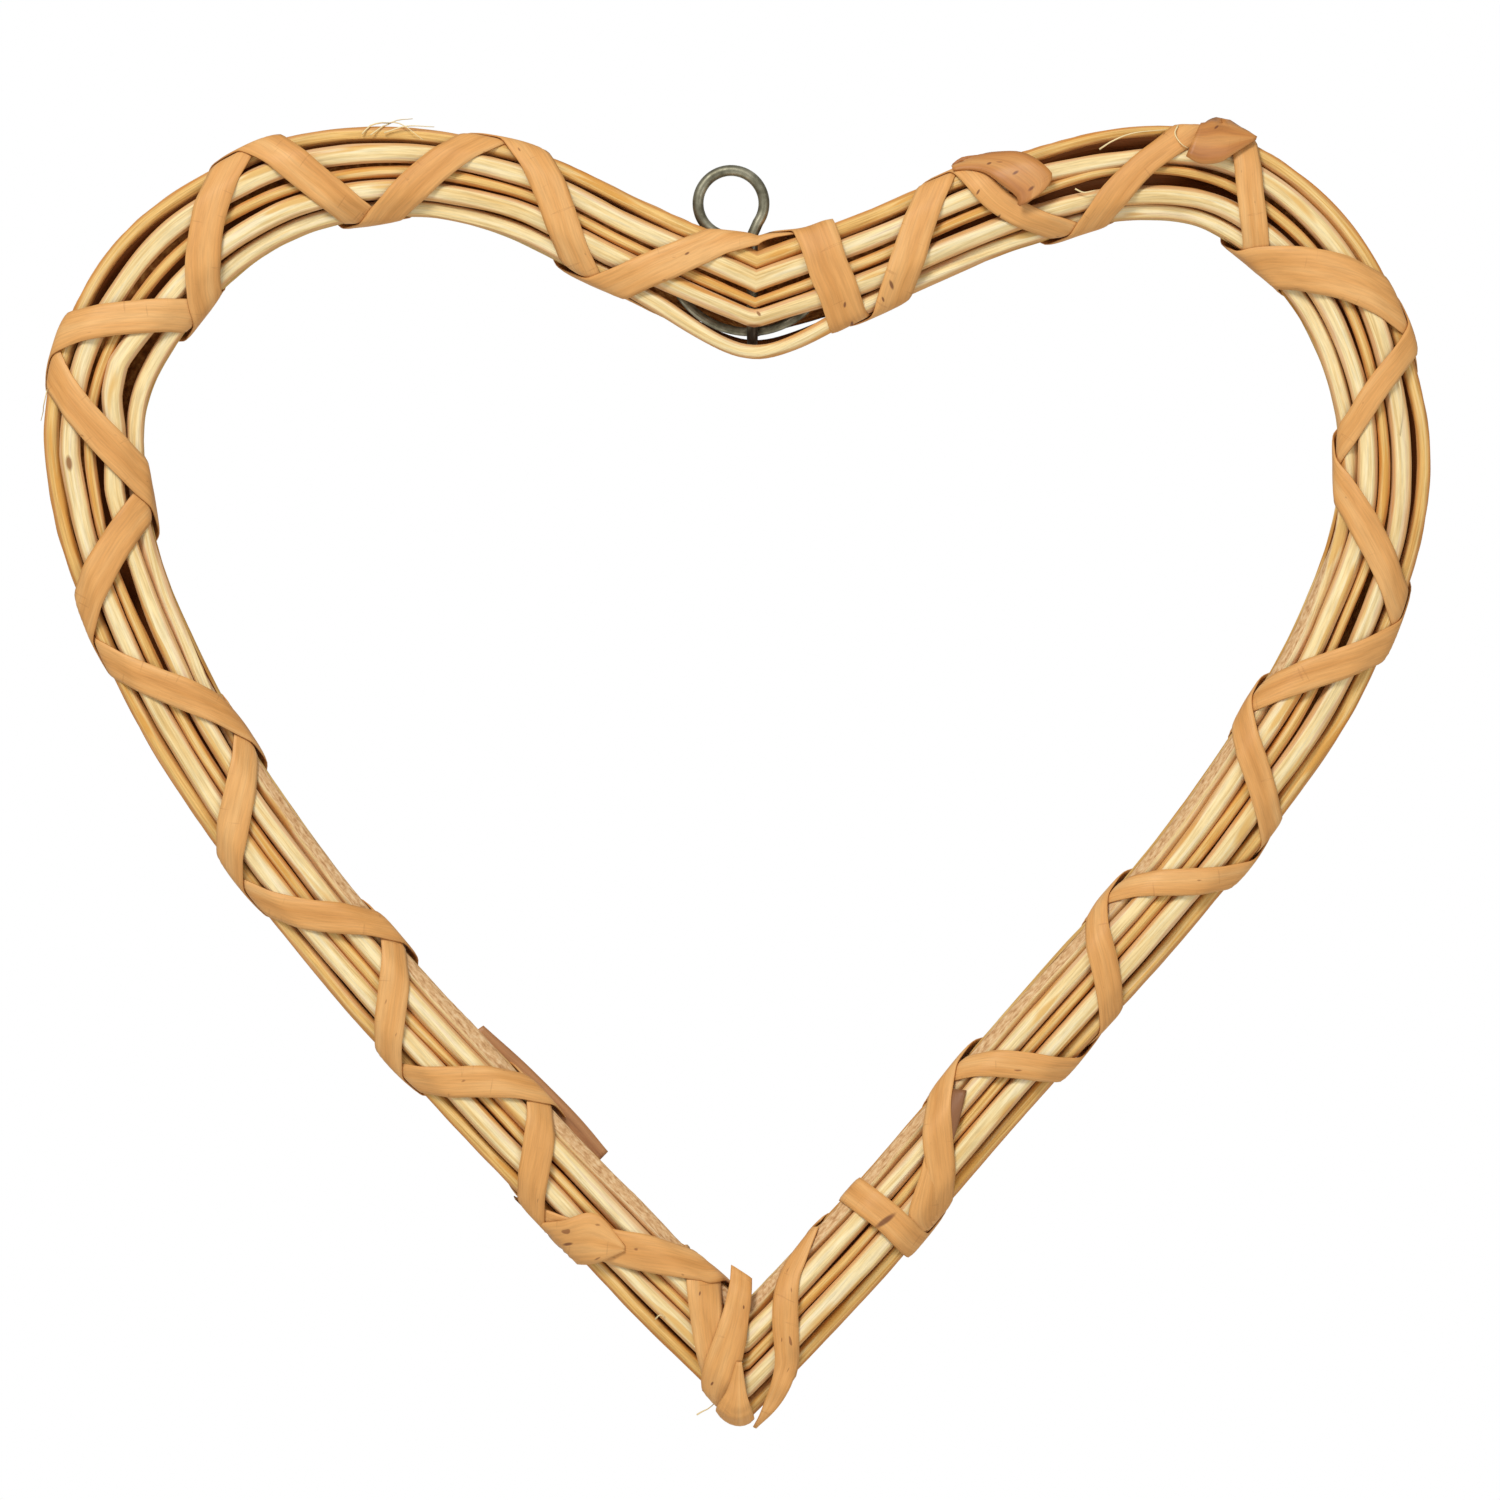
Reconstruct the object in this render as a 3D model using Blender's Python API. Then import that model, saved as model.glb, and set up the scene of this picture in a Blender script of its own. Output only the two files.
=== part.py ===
# Wicker heart: two rows of willow canes bent to a heart, two wrapping strips, a wire hanging eye.
# Metres, +Z up, the heart's front faces -Y, and the origin is the eye's inner top, where it hangs.
import bisect
import bpy
import bmesh
import math
from mathutils import Vector

mm = 0.001

# Driving sizes of the whole heart
heart_width = 250 * mm
heart_height = 237 * mm
clearance = 0.3 * mm

# Canes, from the outer edge of the heart to the inner one
front_width = [2.6 * mm, 3.4 * mm, 1.8 * mm, 3.3 * mm, 2.8 * mm]
front_thickness = [2.4 * mm, 2.6 * mm, 1.8 * mm, 2.8 * mm, 2.4 * mm]
front_split = [False, True, False, True, True]
back_share = [0.26, 0.22, 0.2, 0.19, 0.13]
back_thickness = [2.6 * mm, 2.4 * mm, 2.6 * mm, 2.4 * mm, 2.2 * mm]
back_split = [False, True, False, True, False]
row_width = 16 * mm
row_arch = 3.0 * mm
back_gap = 0.5 * mm

# Hanging eye and the bowed wire under it
eye_wire = 2.0 * mm
eye_inner_radius = 4.96 * mm
eye_height = 19.1 * mm
eye_side = -4.3 * mm
shank_side = -0.45 * mm
shank_depth = 7.0 * mm
bow_wire = 1.6 * mm
bow_radius = 15.0 * mm
bow_drop = 4.0 * mm
bow_side = -1.0 * mm
bow_half_angle = math.radians(60)

# Wrapping strips
strip_width = 5.2 * mm
strip_thickness = 0.5 * mm
strip_lift = 1.5 * mm
face_stand = 0.45 * mm
edge_stand = 0.8 * mm
envelope_power = 2.6
mitre_length = 18 * mm
tail_width = 6.0 * mm
tail_length = 30 * mm
flap_width = 6.6 * mm
cap_width = 6.6 * mm
cap_top_width = 3.2 * mm
cap_rise = 12 * mm
cap_side = -2.4 * mm
cap_bend = 7 * mm

# The middle of the band, from the notch to the tip, as shares of heart_width and heart_height
left_route = [(0, 0), (-0.098, 0.049), (-0.173, 0.088), (-0.256, 0.104), (-0.340, 0.088), (-0.419, 0.031),
              (-0.468, -0.058), (-0.469, -0.153), (-0.426, -0.283), (-0.329, -0.443), (-0.184, -0.609),
              (-0.007, -0.805)]
right_route = [(0, 0), (0.090, 0.036), (0.192, 0.081), (0.259, 0.100), (0.325, 0.096), (0.410, 0.027),
               (0.452, -0.069), (0.456, -0.138), (0.425, -0.249), (0.343, -0.388), (0.206, -0.559),
               (0.104, -0.683), (-0.007, -0.805)]

# How the front canes lie along the band, by place: share of the limb (left below 0), the row's outer
# edge and the four gaps between the canes as shares of row_width, and how far the canes are squeezed
row_places = [
    (-1, 0.456, 0.025, 0.025, 0.031, 0.025, 0.95),
    (-0.93, 0.5, 0.025, 0.031, 0.031, 0.025, 0.94),
    (-0.82, 0.5, 0.025, 0.031, 0.031, 0.025, 0.92),
    (-0.67, 0.438, 0.025, 0.031, 0.037, 0.025, 0.92),
    (-0.5, 0.5, 0.025, 0.044, 0.062, 0.025, 0.95),
    (-0.41, 0.613, 0.025, 0.037, 0.081, 0.062, 1.02),
    (-0.335, 0.688, 0.056, 0.094, 0.1, 0.069, 1.04),
    (-0.265, 0.6, 0.062, 0.075, 0.05, 0.044, 1.02),
    (-0.17, 0.481, 0.025, 0.05, 0.031, 0.025, 0.96),
    (-0.08, 0.55, 0.031, 0.05, 0.025, 0.056, 1),
    (0, 0.581, 0.031, 0.062, 0.025, 0.119, 1.04),
    (0.07, 0.581, 0.031, 0.05, 0.05, 0.031, 1.04),
    (0.17, 0.519, 0.037, 0.031, 0.1, 0.031, 0.92),
    (0.23, 0.575, 0.031, 0.1, 0.087, 0.031, 0.94),
    (0.3, 0.613, 0.031, 0.062, 0.056, 0.037, 1.04),
    (0.39, 0.469, 0.031, 0.05, 0.031, 0.025, 0.98),
    (0.53, 0.469, 0.025, 0.062, 0.031, 0.025, 1),
    (0.69, 0.425, 0.025, 0.031, 0.025, 0.025, 0.94),
    (0.82, 0.388, 0.025, 0.031, 0.025, 0.031, 0.92),
    (1, 0.444, 0.025, 0.025, 0.031, 0.025, 0.95),
]

# Places along the band are counted in steps from the notch (left below 0), so many to the tip
left_steps = 357.6
right_steps = 353.2

# Where each strip crosses the front: its places at the two edges and the middle, and its width there
# as a share of strip_width
strip_a_start = (-351, 0.72)
strip_a_crossings = [
    (-342, -328, -311, 1.19), (-297, -286, -276, 1), (-258, -246, -232, 1), (-208, -195, -184, 1),
    (-158, -143, -136, 1.04), (-118, -106, -94, 1.08), (-74, -63, -53, 1.08), (-27, -17, 10.5, 1.12),
    (20, 31, 41, 1.04), (60, 74, 84, 0.92), (102, 114, 127, 1.38), (150, 166, 175, 1),
    (203, 213, 220, 0.92), (248, 256, 265, 0.88), (288, 302, 311, 1), (328, 340, 346, 0.88),
]
strip_b_start = (-350.5, -0.07)
strip_b_crossings = [
    (-350, -346.5, -341, 1.08), (-310, -304, -297, 1), (-272, -267, -258, 1), (-230, -220, -210, 1.04),
    (-178, -170, -161, 1.08), (-133, -126, -119, 1.08), (-91, -85, -75, 1.12), (-51, -40, -27, 1.08),
    (12, 15, 17, 1.42), (43, 49, 60, 0.85), (86.5, 94, 105, 0.88), (129, 137, 149, 0.81),
    (178, 188, 202, 1), (226, 236, 246, 0.85), (272, 280, 288, 0.88), (315, 316, 317, 1),
]
strip_a_notch = (0, 0.08)
strip_a_end = (350, 0.2)
strip_b_end = (318, 0.0)
notch_extra_turns = {True: [0.065, 0.045, 0.025], False: [-0.14, -0.045]}
notch_bridge = 2.2 * mm
notch_reach = 14 * mm
shank_reach = 7.5 * mm
tip_reach = 20 * mm
tip_strip_crossing = (-350.5, -352.5, -354, 0.96)
tail_middle = -297
flap_routes = [
    [(43.5, 0.02), (48.5, 0.12), (54, 0.23)],
    [(82.5, -0.01), (85.5, 0.06), (87.5, 0.13)],
]

# Stations along a limb for the canes, as shares of its length, closer on the lobe
cane_stations = [0, 0.018, 0.045, 0.075, 0.11, 0.145, 0.18, 0.215, 0.25, 0.285, 0.32, 0.355, 0.39, 0.43,
                 0.48, 0.54, 0.61, 0.68, 0.75, 0.82, 0.89, 0.95, 0.975, 1.0]
half_turn_steps = [0.09, 0.18, 0.32, 0.41, 0.5]
curve_samples = 30


def clear_scene():
    for item in list(bpy.data.objects):
        bpy.data.objects.remove(item, do_unlink=True)


def make_collection(name):
    collection = bpy.data.collections.new(name)
    bpy.context.scene.collection.children.link(collection)
    return collection


def make_material(name, colour, roughness, metallic=0.0):
    material = bpy.data.materials.new(name)
    material.use_nodes = True
    shader = material.node_tree.nodes["Principled BSDF"]
    shader.inputs["Base Color"].default_value = (*colour, 1.0)
    shader.inputs["Roughness"].default_value = roughness
    shader.inputs["Metallic"].default_value = metallic
    return material


def blend(a, b, share):
    return a + (b - a) * share


def smooth_step(value):
    value = min(max(value, 0.0), 1.0)
    return value * value * (3 - 2 * value)


# A limb is the smooth line through its route points, measured along its length
def make_limb(route, side):
    points = [Vector((x * heart_width, z * heart_height)) for x, z in route]
    spans = [(b - a).length for a, b in zip(points, points[1:])]
    slopes = [(b - a) / span for a, b, span in zip(points, points[1:], spans)]
    tangents = [slopes[0] * 1.0]
    for before, after, span, following in zip(slopes, slopes[1:], spans, spans[1:]):
        tangents.append((before * following + after * span) / (span + following))
    tangents.append(slopes[-1] * 1.5 - tangents[-1] * 0.5)
    tangents[0] = slopes[0] * 1.5 - tangents[1] * 0.5
    line = []
    for index, span in enumerate(spans):
        for step in range(curve_samples):
            t = step / curve_samples
            start = points[index] * (2 * t ** 3 - 3 * t ** 2 + 1)
            leave = tangents[index] * span * (t ** 3 - 2 * t ** 2 + t)
            end = points[index + 1] * (3 * t ** 2 - 2 * t ** 3)
            arrive = tangents[index + 1] * span * (t ** 3 - t ** 2)
            line.append(start + leave + end + arrive)
    line.append(points[-1])
    travel = [0.0]
    for a, b in zip(line, line[1:]):
        travel.append(travel[-1] + (b - a).length)
    return {"line": line, "travel": travel, "length": travel[-1], "side": side,
            "first": tangents[0].normalized(), "last": tangents[-1].normalized()}


# Point, direction away from the notch and direction out of the heart, at a distance from the notch
def limb_frame(limb, distance):
    line = limb["line"]
    travel = limb["travel"]
    index = min(max(bisect.bisect_right(travel, distance) - 1, 0), len(line) - 2)
    share = (distance - travel[index]) / (travel[index + 1] - travel[index])
    point = line[index].lerp(line[index + 1], share)
    before = line[max(index - 1, 0)]
    after = line[min(index + 2, len(line) - 1)]
    here = (line[index + 1] - before).normalized()
    ahead = (after - line[index]).normalized()
    along = here.lerp(ahead, share).normalized()
    if distance <= 0:
        along = limb["first"]
    if distance >= limb["length"]:
        along = limb["last"]
    outward = Vector((along.y, -along.x)) * limb["side"]
    return point, along, outward


left_limb = make_limb(left_route, 1)
right_limb = make_limb(right_route, -1)


def limb_of(place):
    return left_limb if place < 0 else right_limb


def place_at(steps):
    if steps < 0:
        return steps * left_limb["length"] / left_steps
    return steps * right_limb["length"] / right_steps


def bend_tangent(first, second):
    return math.tan(first.angle(second) / 2)


notch_slope = bend_tangent(-left_limb["first"], right_limb["first"])
tip_slope = bend_tangent(left_limb["last"], -right_limb["last"])
wire_room = eye_wire + bow_wire + 3 * clearance
eye_plane = wire_room / 2 - clearance - eye_wire / 2
bow_plane = -wire_room / 2 + clearance + bow_wire / 2
notch_spread = 26 * mm
hang_x = eye_side
hang_z = eye_height + eye_inner_radius


# Place in the band to world: distance from the notch, out of the heart, and towards the front
def to_world(place, out, front):
    limb = limb_of(place)
    distance = abs(place)
    point, along, outward = limb_frame(limb, distance)
    shift = out * notch_slope * max(0.0, 1 - distance / mitre_length)
    shift += out * tip_slope * max(0.0, 1 - (limb["length"] - distance) / mitre_length)
    flat = point + outward * out + along * shift
    return Vector((flat.x - hang_x, eye_plane - front, flat.y - hang_z))


# How much the wires at the notch spread the two rows apart
def spread_at(place):
    return smooth_step(1 - (abs(place) - notch_spread / 2) / (notch_spread * 0.8))


def row_values(place):
    share = place / limb_of(place)["length"]
    share = min(max(share, -1.0), 1.0)
    for low, high in zip(row_places, row_places[1:]):
        if share <= high[0]:
            step = smooth_step((share - low[0]) / (high[0] - low[0]))
            return [blend(a, b, step) for a, b in zip(low[1:], high[1:])]
    return list(row_places[-1][1:])


# Centre, width and thickness of every cane at one place, the front row first
def canes_at(place):
    values = row_values(place)
    edge = values[0] * row_width
    gaps = [gap * row_width for gap in values[1:5]] + [0]
    squeeze = values[5]
    spread = spread_at(place)
    middle = blend(back_gap, wire_room, spread) / 2
    arch = row_arch * (1 - 0.55 * spread)
    widths = [width * squeeze for width in front_width]
    total = sum(widths) + sum(gaps)
    centre = edge - total / 2
    canes = []
    for width, thick, gap, split in zip(widths, front_thickness, gaps, front_split):
        out = edge - width / 2
        rise = arch * (1 - (2 * (out - centre) / total) ** 2)
        canes.append((out, middle + thick / 2 + rise, width, thick, split, 1))
        edge -= width + gap
    usable = total - (len(back_share) - 1) * back_gap
    edge = centre + total / 2
    for share, thick, split in zip(back_share, back_thickness, back_split):
        width = usable * share / sum(back_share)
        out = edge - width / 2
        rise = arch * (1 - (2 * (out - centre) / total) ** 2)
        canes.append((out, -middle - thick / 2 - rise, width, thick, split, -1))
        edge -= width + back_gap
    return canes


# The six corners of a cane, as shares of its width and thickness: a whole rod or a split half
round_section = [(0.5, 0), (0.28, 0.5), (-0.28, 0.5), (-0.5, 0), (-0.28, -0.5), (0.28, -0.5)]
split_section = [(0.5, 0.1), (0.24, 0.5), (-0.24, 0.5), (-0.5, 0.1), (-0.42, -0.5), (0.42, -0.5)]


def section_corner(cane, index):
    out, front, width, thick, split, face = cane
    across, depth = (split_section if split else round_section)[index % 6]
    return out + across * width, front + depth * thick * face


# Middle and half sizes of the smooth outline that holds every cane at one place
def envelope_at(place):
    corners = [section_corner(cane, index) for cane in canes_at(place) for index in range(6)]
    outs = [corner[0] for corner in corners]
    fronts = [corner[1] for corner in corners]
    middle = (max(outs) + min(outs)) / 2
    half_out = (max(outs) - min(outs)) / 2
    half_front = max(max(fronts), -min(fronts))
    reach = max(
        (abs((out - middle) / half_out) ** envelope_power
         + abs(front / half_front) ** envelope_power) ** (1 / envelope_power)
        for out, front in corners)
    return middle, half_out * reach, half_front * reach


def oval_radius(angle, half_out, half_front):
    across = abs(math.cos(angle) / half_out) ** envelope_power
    depth = abs(math.sin(angle) / half_front) ** envelope_power
    return (across + depth) ** (-1 / envelope_power)


# Angles at even steps round a typical section, so that a turn share is a length round the band
oval_steps = 240
typical_place = -60
typical_middle, typical_out, typical_front = envelope_at(place_at(typical_place))


def oval_table():
    angles = [2 * math.pi * step / oval_steps for step in range(oval_steps + 1)]
    points = []
    for angle in angles:
        radius = oval_radius(angle, typical_out, typical_front)
        points.append(Vector((radius * math.cos(angle), radius * math.sin(angle))))
    lengths = [0.0]
    for a, b in zip(points, points[1:]):
        lengths.append(lengths[-1] + (b - a).length)
    return angles, lengths


oval_angles, oval_lengths = oval_table()
girth = oval_lengths[-1]


# A turn of 0 is the outer edge, 0.25 the front, 0.5 the inner edge and 0.75 the back
def turn_angle(turn):
    wanted = (turn % 1.0) * girth
    index = min(bisect.bisect_right(oval_lengths, wanted) - 1, oval_steps - 1)
    share = (wanted - oval_lengths[index]) / (oval_lengths[index + 1] - oval_lengths[index])
    return blend(oval_angles[index], oval_angles[index + 1], share)


# A point that stands off the bundle by a height, at a place along it and a turn round it
def wrap_point(place, turn, height, over_shank=False):
    middle, half_out, half_front = envelope_at(place)
    angle = turn_angle(turn)
    radius = oval_radius(angle, half_out, half_front)
    out = radius * math.cos(angle)
    front = radius * math.sin(angle)
    power = envelope_power - 1
    normal = Vector((
        math.copysign(abs(out / half_out) ** power / half_out, out),
        math.copysign(abs(front / half_front) ** power / half_front, front))).normalized()
    stand = clearance + face_stand + edge_stand * math.cos(turn * 2 * math.pi) ** 2
    out += middle + normal.x * (stand + height)
    front += normal.y * (stand + height)
    near_notch = smooth_step(1 - abs(place) / notch_reach)
    outer_side = smooth_step(math.cos(turn * 2 * math.pi))
    out += notch_bridge * near_notch * outer_side
    beside = turn - round(turn)
    if over_shank and abs(place) < shank_reach and -0.05 < beside < 0.16:
        shank_front = eye_plane + eye_wire / 2 + clearance
        hold = smooth_step(3 - 3 * abs(place) / shank_reach) * smooth_step((beside + 0.05) / 0.04)
        front = max(front, shank_front * hold + height)
    return to_world(place, out, front)


def finish_object(name, mesh, material, collection):
    mesh.materials.append(material)
    item = bpy.data.objects.new(name, mesh)
    collection.objects.link(item)
    return item


# A flat grid is rolled into a closed bar: place_vertex(station, corner) gives each vertex its place
def make_bar(name, stations, corners, place_vertex, material, collection):
    work = bmesh.new()
    bmesh.ops.create_grid(work, x_segments=corners, y_segments=stations - 1, size=0.5)
    for vertex in work.verts:
        corner = round((vertex.co.x + 0.5) * corners)
        station = round((vertex.co.y + 0.5) * (stations - 1))
        vertex.co = place_vertex(station, corner % corners)
    bmesh.ops.remove_doubles(work, verts=work.verts, dist=0.000001)
    bmesh.ops.holes_fill(work, edges=work.edges, sides=corners)
    bmesh.ops.recalc_face_normals(work, faces=work.faces)
    bmesh.ops.triangulate(work, faces=work.faces)
    mesh = bpy.data.meshes.new(name)
    work.to_mesh(mesh)
    work.free()
    return finish_object(name, mesh, material, collection)


def make_cane(name, index, material, collection):
    places = [-share * left_limb["length"] for share in reversed(cane_stations[1:])]
    places += [share * right_limb["length"] for share in cane_stations]

    def place_vertex(station, corner):
        place = places[station]
        out, front = section_corner(canes_at(place)[index], corner)
        point = to_world(place, out, front)
        if station in (0, len(places) - 1):
            point.x -= math.copysign(clearance / 2, -place)
        return point

    return make_bar(name, len(places), 6, place_vertex, material, collection)


# Knots of a strip's way round the bundle, as (place, turn, width); direction is +1 or -1
def strip_knots(start, crossings, direction):
    knots = [(place_at(start[0]), start[1], crossings[0][3] * strip_width)]
    first_turn = 0.0 if direction > 0 else 0.5
    for count, (enter, middle, leave, share) in enumerate(crossings):
        base = first_turn + direction * count
        width = share * strip_width
        if count > 0:
            behind = (crossings[count - 1][2] + enter) / 2
            knots.append((place_at(behind), base - direction * 0.25, width))
        knots.append((place_at(enter), base, width))
        knots.append((place_at(middle), base + direction * 0.25, width))
        knots.append((place_at(leave), base + direction * 0.5, width))
    return knots


# Strip a stays in front of the eye's shank at the notch before it goes over the outer edge
def with_notch_knot(knots):
    following = next(index for index, knot in enumerate(knots) if knot[0] > strip_a_notch[0])
    whole_turns = round(knots[following][1])
    notch_knot = (place_at(strip_a_notch[0]), whole_turns + strip_a_notch[1], knots[following][2])
    return knots[:following] + [notch_knot] + knots[following:]


def knot_values(knots, turn, direction):
    for low, high in zip(knots, knots[1:]):
        if direction * (turn - high[1]) <= 0:
            share = (turn - low[1]) / (high[1] - low[1])
            return blend(low[0], high[0], share), blend(low[2], high[2], share)
    return knots[-1][0], knots[-1][2]


def strip_turns(first, last, direction):
    turns = [first]
    half = math.floor(first * 2) / 2 if direction > 0 else math.ceil(first * 2) / 2
    while direction * (last - half) > 0:
        for step in half_turn_steps:
            turn = half + direction * step
            if direction * (turn - first) > 0.03 and direction * (last - turn) > 0.03:
                turns.append(turn)
        half += direction * 0.5
    turns.append(last)
    return turns


# The strip that is on top at the inner edge, or at the outer one, lies a strip's lift higher there
def over_lift(turn, over_inner):
    wave = math.cos(turn * 2 * math.pi)
    return strip_lift * smooth_step((1 - wave if over_inner else 1 + wave) / 2)


# Room for the tail that is laid under both strips on the inner edge
def tail_lift(place, turn):
    beyond = abs(place - place_at(tail_middle)) - tail_length * 0.5
    near = smooth_step(1 - beyond / (tail_length * 0.4))
    inner = smooth_step((1 - math.cos(turn * 2 * math.pi)) / 1.2)
    return near * inner * (strip_thickness + clearance + 0.2 * mm)


# Room for the strip end that lies under the others at the tip
def cap_lift(place):
    return (strip_thickness + clearance) * smooth_step((tip_reach - left_limb["length"] - place) / tip_reach)


# How much longer than at the band's middle a step along the band is at this turn
def stretch_at(place, turn):
    step = 0.5 * mm
    before = wrap_point(place - step, turn, 0)
    after = wrap_point(place + step, turn, 0)
    return (after - before).length / (2 * step)


# Corners of a strip's section: share across it and top (1) or underside (0)
strip_section = [(-1, 0), (-1, 1), (0, 1), (1, 1), (1, 0), (0, 0)]


def make_strip(name, path, turns, height, material, collection, over_shank=False):
    samples = [path(turn) for turn in turns]

    def place_vertex(station, corner):
        across, level = strip_section[corner]
        place, width = samples[station]
        before = max(station - 1, 0)
        after = min(station + 1, len(turns) - 1)
        run = Vector((samples[after][0] - samples[before][0], (turns[after] - turns[before]) * girth))
        side = Vector((-run.y, run.x)).normalized() * across * width / 2
        edge_place = place + side.x / stretch_at(place, turns[station])
        edge_turn = turns[station] + side.y / girth
        lift = height(edge_place, edge_turn) + level * strip_thickness
        return wrap_point(edge_place, edge_turn, lift, over_shank)

    return make_bar(name, len(turns), 6, place_vertex, material, collection)


def make_wrap(name, start, crossings, direction, end, over_inner, material, collection):
    knots = strip_knots(start, crossings, direction)
    if over_inner:
        knots = with_notch_knot(knots)
    last = (place_at(end[0]), knots[-1][1] + direction * end[1], knots[-1][2])
    knots.append(last)
    turns = strip_turns(knots[0][1], last[1], direction)
    whole_turns = round(next(knot[1] for knot in knots if knot[0] >= 0))
    turns += [whole_turns + extra for extra in notch_extra_turns[over_inner]]
    turns.sort(reverse=direction < 0)

    def path(turn):
        return knot_values(knots, turn, direction)

    def height(place, turn):
        return over_lift(turn, over_inner) + tail_lift(place, turn) + cap_lift(place)

    return make_strip(name, path, turns, height, material, collection, over_shank=over_inner)


# One more half turn of strip over the first one, beside the tip
def make_tip_strip(material, collection):
    width = tip_strip_crossing[3] * strip_width
    turns = [-0.02, 0.08, 0.17, 0.25, 0.33, 0.42, 0.52]
    knots = [(place_at(steps), turn, width) for steps, turn in zip(tip_strip_crossing, turns[::3])]

    def path(turn):
        return knot_values(knots, turn, 1)

    def height(place, turn):
        return strip_lift + 2 * strip_thickness + 3 * clearance

    return make_strip("tip_strip", path, turns, height, material, collection)


# A strip's end laid down the front of the tip, round under it and up behind
def make_cap(material, collection):
    place = right_limb["length"]
    out, front, width, thick, split, face = canes_at(place)[0]
    edge = out + width / 2
    corner = to_world(place, edge, 0)
    top_front = wrap_point(place, 0.25, 0).y
    half_depth = eye_plane - top_front
    stand = clearance + edge_stand + strip_thickness / 2
    steps = 7
    path = [(90, cap_rise, cap_top_width)]
    path += [(90 - 130 * step / steps, 0, blend(cap_top_width, cap_width, (step + 3) / (steps + 3)))
             for step in range(steps + 1)]

    def place_vertex(station, corner_index):
        across, level = strip_section[corner_index]
        degrees, rise, width = path[station]
        angle = math.radians(degrees)
        offset = across * width / 2
        lift = level * strip_thickness
        low = math.cos(angle)
        hollow = (math.hypot(offset + cap_side, cap_width / 3) - cap_width / 3) * tip_slope * low
        z = corner.z - stand + cap_bend + hollow + rise - (cap_bend + lift) * low
        y = eye_plane - (half_depth + lift) * math.sin(angle)
        return Vector((corner.x + cap_side + offset, y, z))

    return make_bar("tip_cap", len(path), 6, place_vertex, material, collection)


# A strip's cut tail, laid along the inner edge under both wraps
def make_tail(material, collection):
    steps = 6

    def place_vertex(station, corner):
        across, level = strip_section[corner]
        place = place_at(tail_middle) + tail_length * (station / steps - 0.5)
        turn = 0.53 + across * tail_width / 2 / girth
        return wrap_point(place, turn, level * strip_thickness - clearance / 2)

    return make_bar("tucked_tail", steps + 1, 6, place_vertex, material, collection)


# A strip folded over the front of the right lobe, above the strips there
def make_flap(name, route, material, collection):
    steps = 4
    knots = [(place_at(place), turn, flap_width) for place, turn in route]
    turns = [blend(route[0][1], route[-1][1], step / steps) for step in range(steps + 1)]

    def path(turn):
        return knot_values(knots, turn, 1)

    def height(place, turn):
        return strip_lift + strip_thickness + clearance + 0.2 * mm

    return make_strip(name, path, turns, height, material, collection)


def make_wire(name, points, thickness, front, material, collection):
    curve = bpy.data.curves.new(name, "CURVE")
    curve.dimensions = "3D"
    curve.bevel_depth = thickness / 2
    curve.bevel_resolution = 2
    curve.use_fill_caps = True
    line = curve.splines.new("POLY")
    line.points.add(len(points) - 1)
    for target, (x, z) in zip(line.points, points):
        target.co = (x - hang_x, eye_plane - front, z - hang_z, 1)
    item = bpy.data.objects.new(name, curve)
    curve.materials.append(material)
    collection.objects.link(item)
    return item


# A loop closed on its own shank, which goes down between the two rows
def make_eye(material, collection):
    radius = eye_inner_radius + eye_wire / 2
    start = math.radians(-35)
    end = math.radians(278)
    steps = 22
    loop_foot = eye_height - radius * 0.96
    points = [(shank_side, -shank_depth), (shank_side, 0), (shank_side, loop_foot)]
    for step in range(steps + 1):
        angle = blend(start, end, step / steps)
        points.append((eye_side + radius * math.cos(angle), eye_height + radius * math.sin(angle)))
    return make_wire("wire_eye", points, eye_wire, eye_plane, material, collection)


def make_bow(material, collection):
    steps = 12
    points = []
    for step in range(steps + 1):
        angle = blend(-bow_half_angle, bow_half_angle, step / steps)
        x = bow_side + bow_radius * math.sin(angle)
        points.append((x, bow_radius - bow_drop - bow_radius * math.cos(angle)))
    return make_wire("wire_bow", points, bow_wire, bow_plane, material, collection)


def build():
    clear_scene()
    heart = make_collection("wicker_heart")
    rod_colours = [(0.62, 0.40, 0.19), (0.74, 0.55, 0.30), (0.60, 0.38, 0.17), (0.76, 0.58, 0.33),
                   (0.70, 0.50, 0.27)]
    for index, colour in enumerate(rod_colours):
        front = "cane_front_%d" % (index + 1)
        back = "cane_back_%d" % (index + 1)
        front_material = make_material(front + "_willow", colour, 0.6)
        back_material = make_material(back + "_willow", [value * 0.9 for value in colour], 0.65)
        make_cane(front, index, front_material, heart)
        make_cane(back, len(front_width) + index, back_material, heart)
    strip_a_material = make_material("strip_a_bark", (0.62, 0.34, 0.14), 0.55)
    strip_b_material = make_material("strip_b_bark", (0.60, 0.32, 0.13), 0.55)
    make_wrap("wrap_strip_a", strip_a_start, strip_a_crossings, -1, strip_a_end, True, strip_a_material, heart)
    make_wrap("wrap_strip_b", strip_b_start, strip_b_crossings, 1, strip_b_end, False, strip_b_material, heart)
    make_tip_strip(make_material("tip_strip_bark", (0.60, 0.33, 0.14), 0.55), heart)
    make_cap(make_material("cap_bark", (0.61, 0.34, 0.14), 0.55), heart)
    make_tail(make_material("tail_bark", (0.55, 0.32, 0.16), 0.6), heart)
    for index, route in enumerate(flap_routes):
        name = "folded_flap_%d" % (index + 1)
        make_flap(name, route, make_material(name + "_bark", (0.52, 0.28, 0.12), 0.6), heart)
    make_eye(make_material("eye_wire", (0.28, 0.29, 0.27), 0.4, 0.9), heart)
    make_bow(make_material("bow_wire", (0.26, 0.27, 0.25), 0.45, 0.9), heart)


build()
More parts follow.
